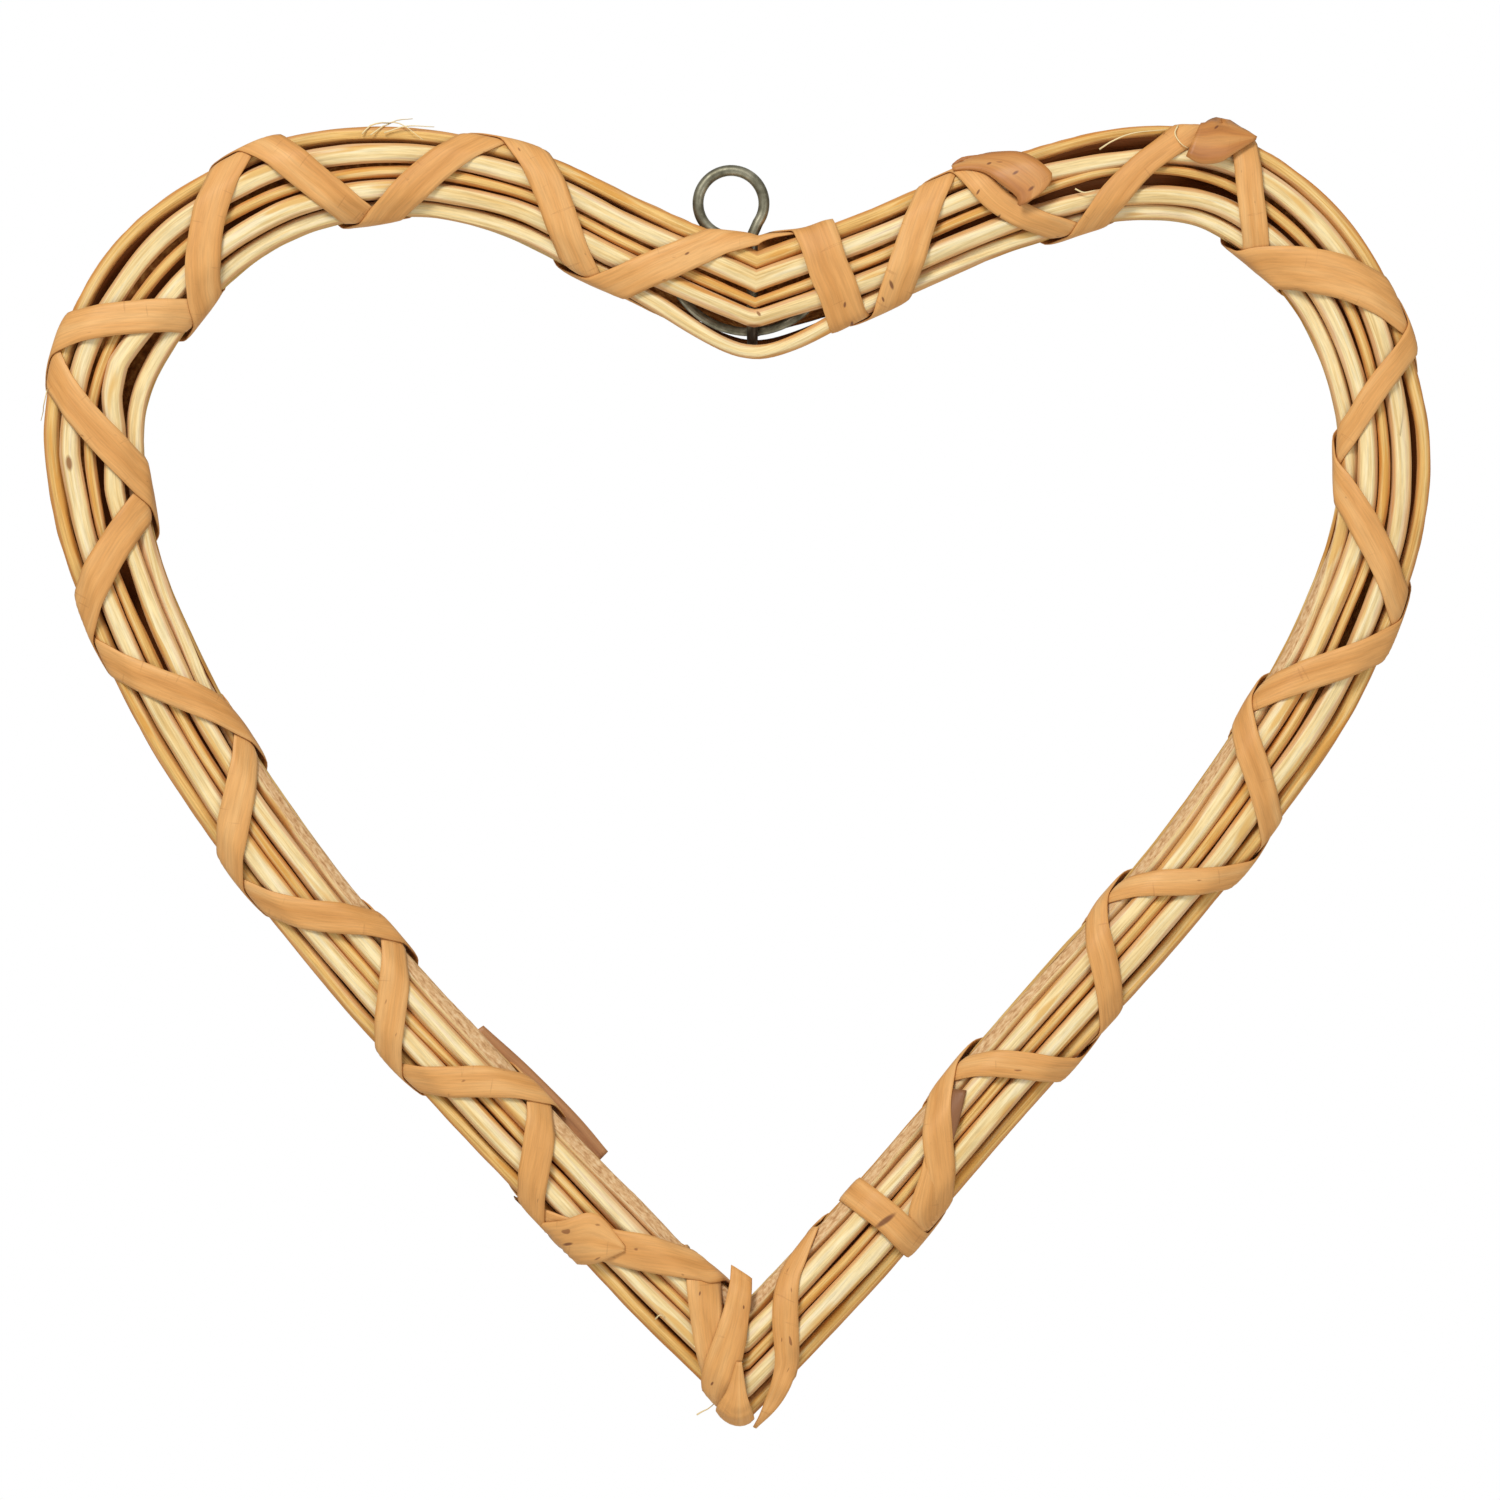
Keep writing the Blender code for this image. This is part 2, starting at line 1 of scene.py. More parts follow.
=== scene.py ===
import bisect
import math

import bpy
import bmesh
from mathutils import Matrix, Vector, geometry, noise


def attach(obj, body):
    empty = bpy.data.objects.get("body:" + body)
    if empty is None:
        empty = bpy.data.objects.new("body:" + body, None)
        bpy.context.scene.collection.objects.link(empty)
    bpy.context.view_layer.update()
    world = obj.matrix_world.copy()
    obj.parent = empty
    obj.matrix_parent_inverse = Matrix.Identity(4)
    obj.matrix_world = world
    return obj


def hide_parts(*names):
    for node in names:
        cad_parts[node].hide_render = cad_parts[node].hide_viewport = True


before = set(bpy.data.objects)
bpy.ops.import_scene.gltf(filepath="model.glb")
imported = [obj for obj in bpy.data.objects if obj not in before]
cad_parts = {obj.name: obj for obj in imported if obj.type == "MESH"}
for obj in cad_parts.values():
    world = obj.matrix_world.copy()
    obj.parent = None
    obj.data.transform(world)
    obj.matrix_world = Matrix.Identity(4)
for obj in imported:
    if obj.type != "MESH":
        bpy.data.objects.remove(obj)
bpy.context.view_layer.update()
mm = 0.001

# the heart's line, as shares of its width and height, from the notch to the tip
heart = {
    "width": 250 * mm,
    "height": 237 * mm,
    "left": [(0, 0), (-0.098, 0.049), (-0.173, 0.088), (-0.256, 0.104), (-0.340, 0.088), (-0.419, 0.031),
             (-0.468, -0.058), (-0.469, -0.153), (-0.426, -0.283), (-0.329, -0.443), (-0.184, -0.609),
             (-0.007, -0.805)],
    "right": [(0, 0), (0.090, 0.036), (0.192, 0.081), (0.259, 0.100), (0.325, 0.096), (0.410, 0.027),
              (0.452, -0.069), (0.456, -0.138), (0.425, -0.249), (0.343, -0.388), (0.206, -0.559),
              (0.104, -0.683), (-0.007, -0.805)],
    "leftSteps": 357.6,  # places along the band are counted in steps, about a millimetre each
    "rightSteps": 353.2,
    "mitre": 18 * mm,  # length over which the canes lean to meet at the notch and the tip
    "samples": 30,  # points on each stretch of the line
    "searches": 12,  # rounds that close in on a place from a point of the front view
    "looseSamples": 12,  # points on each stretch of a loose strip's edge
}


def blend(a, b, share):
    return a + (b - a) * share


def clamp(value, low=0.0, high=1.0):
    return min(max(value, low), high)


def ease(value):
    value = clamp(value)
    return value * value * (3 - 2 * value)


# a smooth way from one value to another, by how fast it leaves and arrives
def curve(start, leave, end, arrive, t):
    return (start * (2 * t ** 3 - 3 * t ** 2 + 1) + leave * (t ** 3 - 2 * t ** 2 + t)
            + end * (3 * t ** 2 - 2 * t ** 3) + arrive * (t ** 3 - t ** 2))


def evenly(length, count):
    return [length * step / count for step in range(count + 1)]


def addUp(lengths):
    travel = [0.0]
    for length in lengths:
        travel.append(travel[-1] + length)
    return travel


def travelAlong(line):
    return addUp((b - a).length for a, b in zip(line, line[1:]))


# which step of a rising list holds a value, and how far into that step it is
def stepOf(rising, value):
    index = clamp(bisect.bisect_right(rising, value) - 1, 0, len(rising) - 2)
    return index, (value - rising[index]) / (rising[index + 1] - rising[index])


def neighbours(items, index):
    return items[max(index - 1, 0)], items[min(index + 1, len(items) - 1)]


def heading(line, index):
    before, after = neighbours(line, index)
    return (after - before).normalized()


def makeLimb(route, steps, side):
    points = [Vector((x * heart["width"], z * heart["height"])) for x, z in route]
    spans = [(b - a).length for a, b in zip(points, points[1:])]
    slopes = [(b - a) / span for a, b, span in zip(points, points[1:], spans)]
    inner = [(before * following + after * span) / (span + following)
             for before, after, span, following in zip(slopes, slopes[1:], spans, spans[1:])]
    first = slopes[0] * 1.5 - inner[0] * 0.5  # the ends run out without a bend
    last = slopes[-1] * 1.5 - inner[-1] * 0.5
    tangents = [first] + inner + [last]
    line = []
    for index, span in enumerate(spans):
        for t in evenly(1, heart["samples"])[:-1]:
            line.append(curve(points[index], tangents[index] * span,
                              points[index + 1], tangents[index + 1] * span, t))
    line.append(points[-1])
    travel = travelAlong(line)
    return {"line": line, "travel": travel, "length": travel[-1], "steps": steps, "side": side,
            "first": first.normalized(), "last": last.normalized()}


leftLimb = makeLimb(heart["left"], heart["leftSteps"], 1)
rightLimb = makeLimb(heart["right"], heart["rightSteps"], -1)


# a limb's point at a distance from the notch, which way it runs there and which way is out
def limbFrame(limb, distance):
    line = limb["line"]
    index, share = stepOf(limb["travel"], distance)
    point = line[index].lerp(line[index + 1], share)
    along = heading(line, index).lerp(heading(line, index + 1), share).normalized()
    if distance <= 0:
        along = limb["first"]
    if distance >= limb["length"]:
        along = limb["last"]
    return point, along, Vector((along.y, -along.x)) * limb["side"]


# a place is a distance along the band from the notch, less than 0 on the left limb
def limbOf(place):
    return leftLimb if place < 0 else rightLimb


def placeAt(steps):
    limb = limbOf(steps)
    return steps * limb["length"] / limb["steps"]


def stepsAt(place):
    limb = limbOf(place)
    return place * limb["steps"] / limb["length"]


# the wires at the notch: their sizes and where the heart hangs from them
wires = {
    "eyeWire": 2.0 * mm, "eyeRadius": 4.96 * mm, "eyeHeight": 19.1 * mm, "eyeSide": -4.3 * mm,
    "eyeFrom": -35, "eyeTo": 278, "eyeSteps": 64,  # the ring's ends in degrees, and its stations
    "shankSide": -0.45 * mm, "shankDepth": 7.0 * mm, "shankTop": 0.96, "shankSteps": 12,
    "bowWire": 1.6 * mm, "bowRadius": 15.0 * mm, "bowDrop": 4.0 * mm, "bowSide": -1.0 * mm,
    "bowFrom": -150, "bowTo": -30, "bowSteps": 40,
    "ring": 16, "cutEnd": 0.86,  # points round a wire, and its cut ends' share
    "gap": 0.3 * mm, "spread": 26 * mm, "spreadFade": 0.8,  # the rows stand apart for the wires
}
wireRoom = wires["eyeWire"] + wires["bowWire"] + 3 * wires["gap"]
eyePlane = wireRoom / 2 - wires["gap"] - wires["eyeWire"] / 2
bowPlane = -wireRoom / 2 + wires["gap"] + wires["bowWire"] / 2
hangX = wires["eyeSide"]
hangZ = wires["eyeHeight"] + wires["eyeRadius"]
notchSlope = math.tan((-leftLimb["first"]).angle(rightLimb["first"]) / 2)
tipSlope = math.tan(leftLimb["last"].angle(-rightLimb["last"]) / 2)


# how far the canes lean along the band so that both limbs meet at the notch and at the tip
def mitreShift(limb, distance, out):
    nearNotch = max(0.0, 1 - distance / heart["mitre"])
    nearTip = max(0.0, 1 - (limb["length"] - distance) / heart["mitre"])
    return out * (notchSlope * nearNotch + tipSlope * nearTip)


# a place in the band to world: distance from the notch, out of the heart, towards the front
def toWorld(place, out, front):
    limb = limbOf(place)
    point, along, outward = limbFrame(limb, abs(place))
    flat = point + outward * out + along * mitreShift(limb, abs(place), out)
    return Vector((flat.x - hangX, eyePlane - front, flat.y - hangZ))


# and back again, from a point of the front view
def bandPlace(x, z):
    flat = Vector((x + hangX, z + hangZ))
    tip = leftLimb["line"][-1]
    limb = leftLimb if flat.x < tip.x * flat.y / tip.y else rightLimb
    nearest = min(range(len(limb["line"])), key=lambda index: (limb["line"][index] - flat).length)
    distance = limb["travel"][nearest]
    for search in range(heart["searches"]):
        point, along, outward = limbFrame(limb, distance)
        out = (flat - point).dot(outward)
        distance += (flat - point).dot(along) - mitreShift(limb, distance, out)
        distance = clamp(distance, 0.0, limb["length"])
    return -distance if limb is leftLimb else distance, out


# the ten canes: front ones are 0 to 4 from the outer edge to the inner, back ones 5 to 9
canes = {
    "frontWidth": [2.6 * mm, 3.4 * mm, 1.8 * mm, 3.3 * mm, 2.8 * mm],
    "frontThick": [2.4 * mm, 2.6 * mm, 1.8 * mm, 2.8 * mm, 2.4 * mm],
    "frontSplit": [False, True, False, True, True],
    "backShare": [0.26, 0.22, 0.2, 0.19, 0.13],  # of the bundle's width
    "backThick": [2.6 * mm, 2.4 * mm, 2.6 * mm, 2.4 * mm, 2.2 * mm],
    "backSplit": [False, True, False, True, False],
    "backGap": 0.5 * mm,
    "round": {4: 6.5, 9: 6.5, 3: 0.8},  # steps over which a cane turns the notch
    "arch": 3.0 * mm,  # a row's middle over its edges
    "archLoss": 0.55,  # share lost where the wires spread the rows
    "rowWidth": 16 * mm,
    # by share of the limb: the outer edge and four gaps, as shares of rowWidth, and the canes' squeeze
    "rows": [
        (-1, 0.456, 0.025, 0.025, 0.031, 0.025, 0.95), (-0.93, 0.5, 0.025, 0.031, 0.031, 0.025, 0.94),
        (-0.82, 0.5, 0.025, 0.031, 0.031, 0.025, 0.92), (-0.67, 0.438, 0.025, 0.031, 0.037, 0.025, 0.92),
        (-0.5, 0.5, 0.025, 0.044, 0.062, 0.025, 0.95), (-0.41, 0.613, 0.025, 0.037, 0.081, 0.062, 1.02),
        (-0.335, 0.688, 0.056, 0.094, 0.1, 0.069, 1.04), (-0.265, 0.6, 0.062, 0.075, 0.05, 0.044, 1.02),
        (-0.17, 0.481, 0.025, 0.05, 0.031, 0.025, 0.96), (-0.08, 0.55, 0.031, 0.05, 0.025, 0.056, 1),
        (0, 0.581, 0.031, 0.062, 0.025, 0.119, 1.04), (0.07, 0.581, 0.031, 0.05, 0.05, 0.031, 1.04),
        (0.17, 0.519, 0.037, 0.031, 0.1, 0.031, 0.92), (0.23, 0.575, 0.031, 0.1, 0.087, 0.031, 0.94),
        (0.3, 0.613, 0.031, 0.062, 0.056, 0.037, 1.04), (0.39, 0.469, 0.031, 0.05, 0.031, 0.025, 0.98),
        (0.53, 0.469, 0.025, 0.062, 0.031, 0.025, 1), (0.69, 0.425, 0.025, 0.031, 0.025, 0.025, 0.94),
        (0.82, 0.388, 0.025, 0.031, 0.025, 0.031, 0.92), (1, 0.444, 0.025, 0.025, 0.031, 0.025, 0.95),
    ],
    "plump": 0.26 * mm,  # each rod over its solid, so neighbours nearly touch
    "ring": 24,  # points round a cane
    "freeSide": {5: 1, 9: -1},  # back canes' open sides: outer 1, inner -1
    "splitEdges": (0, 4, 8, 12),  # corners of a split cane's ring that stay crisp
    "sideShadeFade": 1.5,  # how soon the painted side shade fades on the open side, where no neighbour shades it
    "tipGap": 0.1 * mm, "tipLap": 0.8 * mm,  # front ends stop short, back ones lap
    "tipLean": 1.0 * mm,  # front ends meet left of the mitre, under the strips
    "stationStep": 1.1,  # steps between its rings
    "wobble": 0.3 * mm,  # how far a rod wanders from its line
    "calm": 0.7,  # share of that lost near the notch
    "swell": 0.13,  # how much a rod's size varies
    "waves": {"out": 17, "front": 21, "size": 26, "back": 19},  # steps over which it does each
    "seeds": {"front": 20, "size": 40, "back": 60}, "seedStep": 7.31,  # keep the noises apart
    "ridge": 0.11 * mm,  # height of the lengthwise ridges
    "ridges": [(14, 1.6, 1), (5, 4.2, 0.7)],  # steps long, fineness round the rod, strength
    "facet": 0.035,  # how far a round rod is from round, as a share
    "ragged": 0.16 * mm,  # roughness of the split side
    "lumps": (1.1, 900), "lumpSink": 0.3,  # steps long, number per metre across
    "leastRadius": 0.4 * mm,
    "grainWidth": math.pi * 2.8 * mm,  # of the grain pattern, round a rod
}

# how far each front cane is turned about its length, in degrees, by steps along the band
caneTwist = {
    1: [(-358, 8), (-200, 8), (-150, 20), (-100, 10), (0, 12), (130, -18), (175, -22), (230, -10),
        (353, -6)],
    3: [(-358, 24), (-280, 20), (-200, 12), (-130, 0), (-60, 10), (-10, 26), (40, 24), (100, 20),
        (200, 10), (353, 16)],
    4: [(-358, -140), (-215, -132), (-185, -60), (-150, 8), (-3, 8), (7, -40), (24, -40), (60, 22),
        (130, 0), (185, -120), (353, -135)],
}

# places where a front cane is bent sharply: steps, out in mm, forward in mm, reach in steps
caneBends = {
    1: [(-152, 0.5, 0.5, 9)],
    3: [(-135, 1.4, 0.9, 11), (-150, -1.0, -0.3, 9)],
}

# soft sways of any cane: steps, out in mm, forward in mm, reach in steps, and a factor for its size there
caneSways = {
    0: [(72, 0.3, 0.3, 24, 0.74), (146, 0.3, 0.2, 20, 0.85), (-122, 0.3, 0, 16, 0.85)],
    1: [(72, -1.1, -0.2, 22, 0.84), (146, -0.6, 0, 20, 0.9), (-122, -0.4, 0, 14, 0.9),
        (0, 0.2, 0, 14, 0.92)],
    2: [(-250, 0, 0, 90, 1.1), (240, 0, 0, 90, 1.15), (72, 0.3, 0, 22, 0.8), (182, -0.4, 0, 22, 0.85),
        (-172, 0.3, 0, 16, 0.8), (0, 0.3, 0, 14, 0.8)],
    3: [(72, -0.4, 0, 22, 0.95), (-172, -0.6, 0, 15, 0.88), (0, 0.5, 0, 18, 0.8)],
    4: [(-13, -0.5, 0.3, 17, 1.0), (0, -2.3, 0.2, 18, 0.72), (12, -0.7, 0, 16, 1.0),
        (-290, 0.2, 0, 80, 1.2), (270, 0.2, 0, 80, 1.15)],
    5: [(0, 0.2, 0, 18, 1.0)],
    6: [(0, 0.5, 0, 18, 1.0)],
    7: [(0, 0.9, 0, 18, 1.0)],
    8: [(0, 1.9, 0, 18, 1.0), (-141, 0.4, 0, 24, 1.6)],
    9: [(0, -0.95, 0, 18, 1.0)],
}


def swayAt(index, steps):
    outward, forward, size = 0.0, 0.0, 1.0
    for at, out, front, reach, factor in caneSways.get(index, []):
        near = ease(1 - abs(steps - at) / reach)
        outward += out * mm * near
        forward += front * mm * near
        size *= blend(1, factor, near)
    return outward, forward, size


# a table's values at a point between its rows, each row led by where it stands
def tableValues(table, at):
    for low, high in zip(table, table[1:]):
        if at <= high[0]:
            share = ease((at - low[0]) / (high[0] - low[0]))
            return [blend(a, b, share) for a, b in zip(low[1:], high[1:])]
    return table[-1][1:]


def tableValue(table, at):
    return tableValues(table, at)[0]


# the lowest canes turn the notch in a round bend where the others are folded sharp
def notchRound(index, steps):
    reach = canes["round"].get(index, 0)
    return (math.hypot(steps, reach) - abs(steps)) * mm * notchSlope


def wander(seed, steps, scale):
    return noise.noise(Vector((steps / scale, seed * canes["seedStep"], 0.5)))


# each cane at a place: out, front, width, thickness, is it split, front 1 or back -1, and its twist
def canesAt(place):
    steps = stepsAt(place)
    edge, *gaps, squeeze = tableValues(canes["rows"], clamp(place / limbOf(place)["length"], -1.0, 1.0))
    edge *= canes["rowWidth"]
    gaps = [gap * canes["rowWidth"] for gap in gaps] + [0]
    spread = ease(1 - (abs(place) - wires["spread"] / 2) / (wires["spread"] * wires["spreadFade"]))
    middle = blend(canes["backGap"], wireRoom, spread) / 2
    arch = canes["arch"] * (1 - canes["archLoss"] * spread)
    widths = [width * squeeze for width in canes["frontWidth"]]
    total = sum(widths) + sum(gaps)
    centre = edge - total / 2
    free = ease((heart["mitre"] * 2 - abs(place)) / heart["mitre"])
    wobble = canes["wobble"] * (1 - canes["calm"] * free)
    plump, waves, seeds = canes["plump"], canes["waves"], canes["seeds"]

    def rise(out):
        return arch * (1 - (2 * (out - centre) / total) ** 2)

    found = []
    for index, (width, thick, gap) in enumerate(zip(widths, canes["frontThick"], gaps)):
        out = edge - width / 2
        front = middle + thick / 2 + rise(out)
        for at, outward, forward, reach in caneBends.get(index, []):
            near = max(0.0, 1 - abs(steps - at) / reach)
            out += outward * mm * near
            front += forward * mm * near
        outward, forward, size = swayAt(index, steps)
        out += outward + notchRound(index, steps) + wobble * wander(index, steps, waves["out"])
        front += forward + wobble * wander(index + seeds["front"], steps, waves["front"])
        swell = size * (1 + canes["swell"] * wander(index + seeds["size"], steps, waves["size"]))
        twist = math.radians(tableValue(caneTwist.get(index, [(0, 0)]), steps))
        found.append((out, front, width * swell + plump, thick * swell + plump,
                      canes["frontSplit"][index], 1, twist))
        edge -= width + gap
    usable = total - 4 * canes["backGap"]
    edge = centre + total / 2
    for index, (share, thick) in enumerate(zip(canes["backShare"], canes["backThick"])):
        width = usable * share / sum(canes["backShare"])
        out = edge - width / 2
        front = -middle - thick / 2 - rise(out)
        outward, forward, size = swayAt(index + 5, steps)
        out += outward + notchRound(index + 5, steps)
        out += wobble * wander(index + seeds["back"], steps, waves["back"])
        found.append((out, front, width * size + plump, thick + plump, canes["backSplit"][index], -1, 0.0))
        edge -= width + canes["backGap"]
    return found


# a rod's section: a whole rod is nearly round, a split one has a flat pith side
section = {
    "facets": 5, "facetTurn": 40,  # flats round a whole rod, and radians they turn per mm of width
    "sidePower": 0.65,  # how square a split rod's sides are
    "pithDepth": 0.36, "pithPower": 0.4,  # its flat side and its round one, as shares of its thickness
    "barkDepth": 0.58, "barkPower": 0.7,
    "pithFrom": 0.35, "pithFade": 0.3,  # where the pith starts below the widest part
}


# one point of it: out, front, how far it is on the pith, and how far it is on a side, which sets the
# painted shade on a rod's sides
def sectionPoint(cane, angle):
    out, front, width, thick, split, face, twist = cane
    cosine, sine = math.cos(angle), math.sin(angle)
    facet = 1 + canes["facet"] * math.cos(section["facets"] * angle + section["facetTurn"] * width / mm)
    across = cosine * width / 2 * facet
    depth = sine * thick / 2 * facet
    pith = 0.0
    if split:
        across = math.copysign(abs(cosine) ** section["sidePower"], cosine) * width / 2
        depth = thick * section["barkDepth"] * abs(sine) ** section["barkPower"]
    if split and sine < 0:
        depth = -thick * section["pithDepth"] * abs(sine) ** section["pithPower"]
        pith = ease((-sine - section["pithFrom"]) / section["pithFade"])
    turned = twist * face
    along = across * math.cos(turned) - depth * math.sin(turned)
    deep = across * math.sin(turned) + depth * math.cos(turned)
    return out + along, front + deep * face, pith, 1 - max(0.0, math.sin(angle + turned))


def addObject(name, data):
    thing = bpy.data.objects.new(name, data)
    bpy.context.scene.collection.objects.link(thing)
    return thing


def finishPiece(work, name):
    mesh = bpy.data.meshes.new(name)
    work.to_mesh(mesh)
    work.free()
    return addObject(name, mesh)


# a flat grid rolled into a closed bar; placeVertex(station, corner) gives a place, how far it is on the
# pith or back face, and how far it is on a side, which on the canes sets their painted side shade
def makeBar(name, ring, placeVertex, along, around, sharp=()):
    last = len(along) - 1
    work = bmesh.new()
    grainLayer = work.loops.layers.uv.new("grain")
    pithLayer = work.verts.layers.float.new("pith")
    sideShadeLayer = work.verts.layers.float.new("side")
    bmesh.ops.create_grid(work, x_segments=ring, y_segments=last, size=0.5, calc_uvs=True)
    for edge in work.edges:
        corners = {round((vertex.co.x + 0.5) * ring) for vertex in edge.verts}
        edge.smooth = len(corners) > 1 or corners.pop() % ring not in sharp
    for vertex in work.verts:
        corner = round((vertex.co.x + 0.5) * ring)
        station = round((vertex.co.y + 0.5) * last)
        vertex.co, vertex[pithLayer], vertex[sideShadeLayer] = placeVertex(station, corner % ring)
    for face in work.faces:
        face.smooth = True
        for loop in face.loops:
            uv = loop[grainLayer].uv
            loop[grainLayer].uv = (along[round(uv.y * last)], around * uv.x)
    bmesh.ops.remove_doubles(work, verts=work.verts, dist=0.001 * mm)
    bmesh.ops.holes_fill(work, edges=work.edges, sides=ring)
    bmesh.ops.recalc_face_normals(work, faces=work.faces)
    return finishPiece(work, name)


leftStations = evenly(-heart["leftSteps"], round(heart["leftSteps"] / canes["stationStep"]))
rightStations = evenly(heart["rightSteps"], round(heart["rightSteps"] / canes["stationStep"]))
stationPlaces = [placeAt(steps) for steps in leftStations[:0:-1] + rightStations]
stationCanes = [canesAt(place) for place in stationPlaces]
print("band measured:", len(stationPlaces), "stations")


def makeCane(name, index, seed):
    isFront = index < 5
    lumpLength, lumpsAcross = canes["lumps"]

    def placeVertex(station, corner):
        place = stationPlaces[station]
        steps = stepsAt(place)
        angle = 2 * math.pi * corner / canes["ring"]
        cosine, sine = math.cos(angle), math.sin(angle)
        middleOut, middleFront = stationCanes[station][index][:2]
        out, front, pith, side = sectionPoint(stationCanes[station][index], angle)
        # an outermost back cane's open side loses the painted side shade, as no neighbour would shade it
        side *= 1 - ease(canes["sideShadeFade"] * canes["freeSide"].get(index, 0) * cosine)
        lift = 0.0
        for length, fineness, strength in canes["ridges"]:
            spot = Vector((steps / length, fineness * cosine + seed, fineness * sine))
            lift += canes["ridge"] * strength * noise.noise(spot)
        if pith > 0:
            spot = Vector((steps / lumpLength, out * lumpsAcross, front * lumpsAcross + seed))
            lift += canes["ragged"] * pith * (noise.noise(spot) - canes["lumpSink"])
        reach = Vector((out - middleOut, front - middleFront))
        reach = reach * (1 + lift / max(reach.length, canes["leastRadius"]))
        point = toWorld(place, middleOut + reach.x, middleFront + reach.y)
        if station in (0, len(stationPlaces) - 1):
            point.x += (canes["tipGap"] if isFront else -canes["tipLap"]) * (1 if place > 0 else -1)
            point.x -= canes["tipLean"] if isFront else 0
        return point, pith, side

    sharp = canes["splitEdges"] if stationCanes[0][index][4] else ()
    return makeBar(name, canes["ring"], placeVertex, stationPlaces, canes["grainWidth"], sharp)


# the strips follow a tight skin round all the canes, kept as a table of radii by place and angle
skin = {
    "step": 1.0 * mm, "angles": 120, "corners": 14,  # between rows, round a row, and round each cane
    "stand": 0.06 * mm,  # how far a strip stands over it
    "smoothAlong": 3, "smoothRound": 2,
    "grazing": 0.001,  # least share of a reach that still counts
    "halvings": 16,  # rounds that find the angle of a point of the front view
}


def skinRadii(place):
    outline = []
    for cane in canesAt(place):
        for angle in evenly(2 * math.pi, skin["corners"])[:-1]:
            outline.append(sectionPoint(cane, angle)[:2])
    hull = [outline[corner] for corner in geometry.convex_hull_2d(outline)]
    middle = (max(point[0] for point in hull) + min(point[0] for point in hull)) / 2
    edges = []
    for (ax, ay), (bx, by) in zip(hull, hull[1:] + hull[:1]):
        normal = Vector((by - ay, ax - bx)).normalized()
        edges.append((normal.x, normal.y, normal.x * (ax - middle) + normal.y * ay))
    radii = []
    for angle in evenly(2 * math.pi, skin["angles"])[:-1]:
        facing = [(nx * math.cos(angle) + ny * math.sin(angle), reach) for nx, ny, reach in edges]
        radii.append(min(reach / share for share, reach in facing if share > skin["grazing"]))
    return middle, radii


def soften(before, here, after):
    return (before + 2 * here + after) / 4


def buildSkin():
    first = -math.floor(leftLimb["length"] / skin["step"])
    last = math.floor(rightLimb["length"] / skin["step"])
    middles, radii = zip(*(skinRadii(step * skin["step"]) for step in range(first, last + 1)))
    for turn in range(skin["smoothRound"]):
        radii = [[soften(*near) for near in zip(row[-1:] + row, row, row[1:] + row[:1])] for row in radii]
    rows = [[middle] + row for middle, row in zip(middles, radii)]
    for turn in range(skin["smoothAlong"]):
        padded = zip(rows[:1] + rows, rows, rows[1:] + rows[-1:])
        rows = [[soften(*near) for near in zip(*close)] for close in padded]
    return first, rows


# each row holds its middle and then its radii
skinFirst, skinRows = buildSkin()
print("skin of the bundle measured:", len(skinRows), "rows")


def skinAt(place, angle):
    row = clamp(place / skin["step"] - skinFirst, 0, len(skinRows) - 1.001)
    low, high = skinRows[int(row)], skinRows[int(row) + 1]
    turn = (angle / (2 * math.pi)) % 1.0 * skin["angles"]
    left = int(turn) % skin["angles"] + 1
    right = left % skin["angles"] + 1
    radii = [blend(side[left], side[right], turn - int(turn)) for side in (low, high)]
    return blend(low[0], high[0], row - int(row)), blend(*radii, row - int(row))


# the same even turn round a typical oval as the solids have, so strips cross where theirs do
oval = {"power": 2.6, "steps": 240, "halfOut": 8.116 * mm, "halfFront": 6.149 * mm}


def ovalPoint(angle):
    across = abs(math.cos(angle) / oval["halfOut"]) ** oval["power"]
    depth = abs(math.sin(angle) / oval["halfFront"]) ** oval["power"]
    radius = (across + depth) ** (-1 / oval["power"])
    return Vector((radius * math.cos(angle), radius * math.sin(angle)))


ovalAngles = evenly(2 * math.pi, oval["steps"])
ovalLengths = travelAlong([ovalPoint(angle) for angle in ovalAngles])
girth = ovalLengths[-1]


def turnAngle(turn):
    index, share = stepOf(ovalLengths, (turn % 1.0) * girth)
    return blend(ovalAngles[index], ovalAngles[index + 1], share)


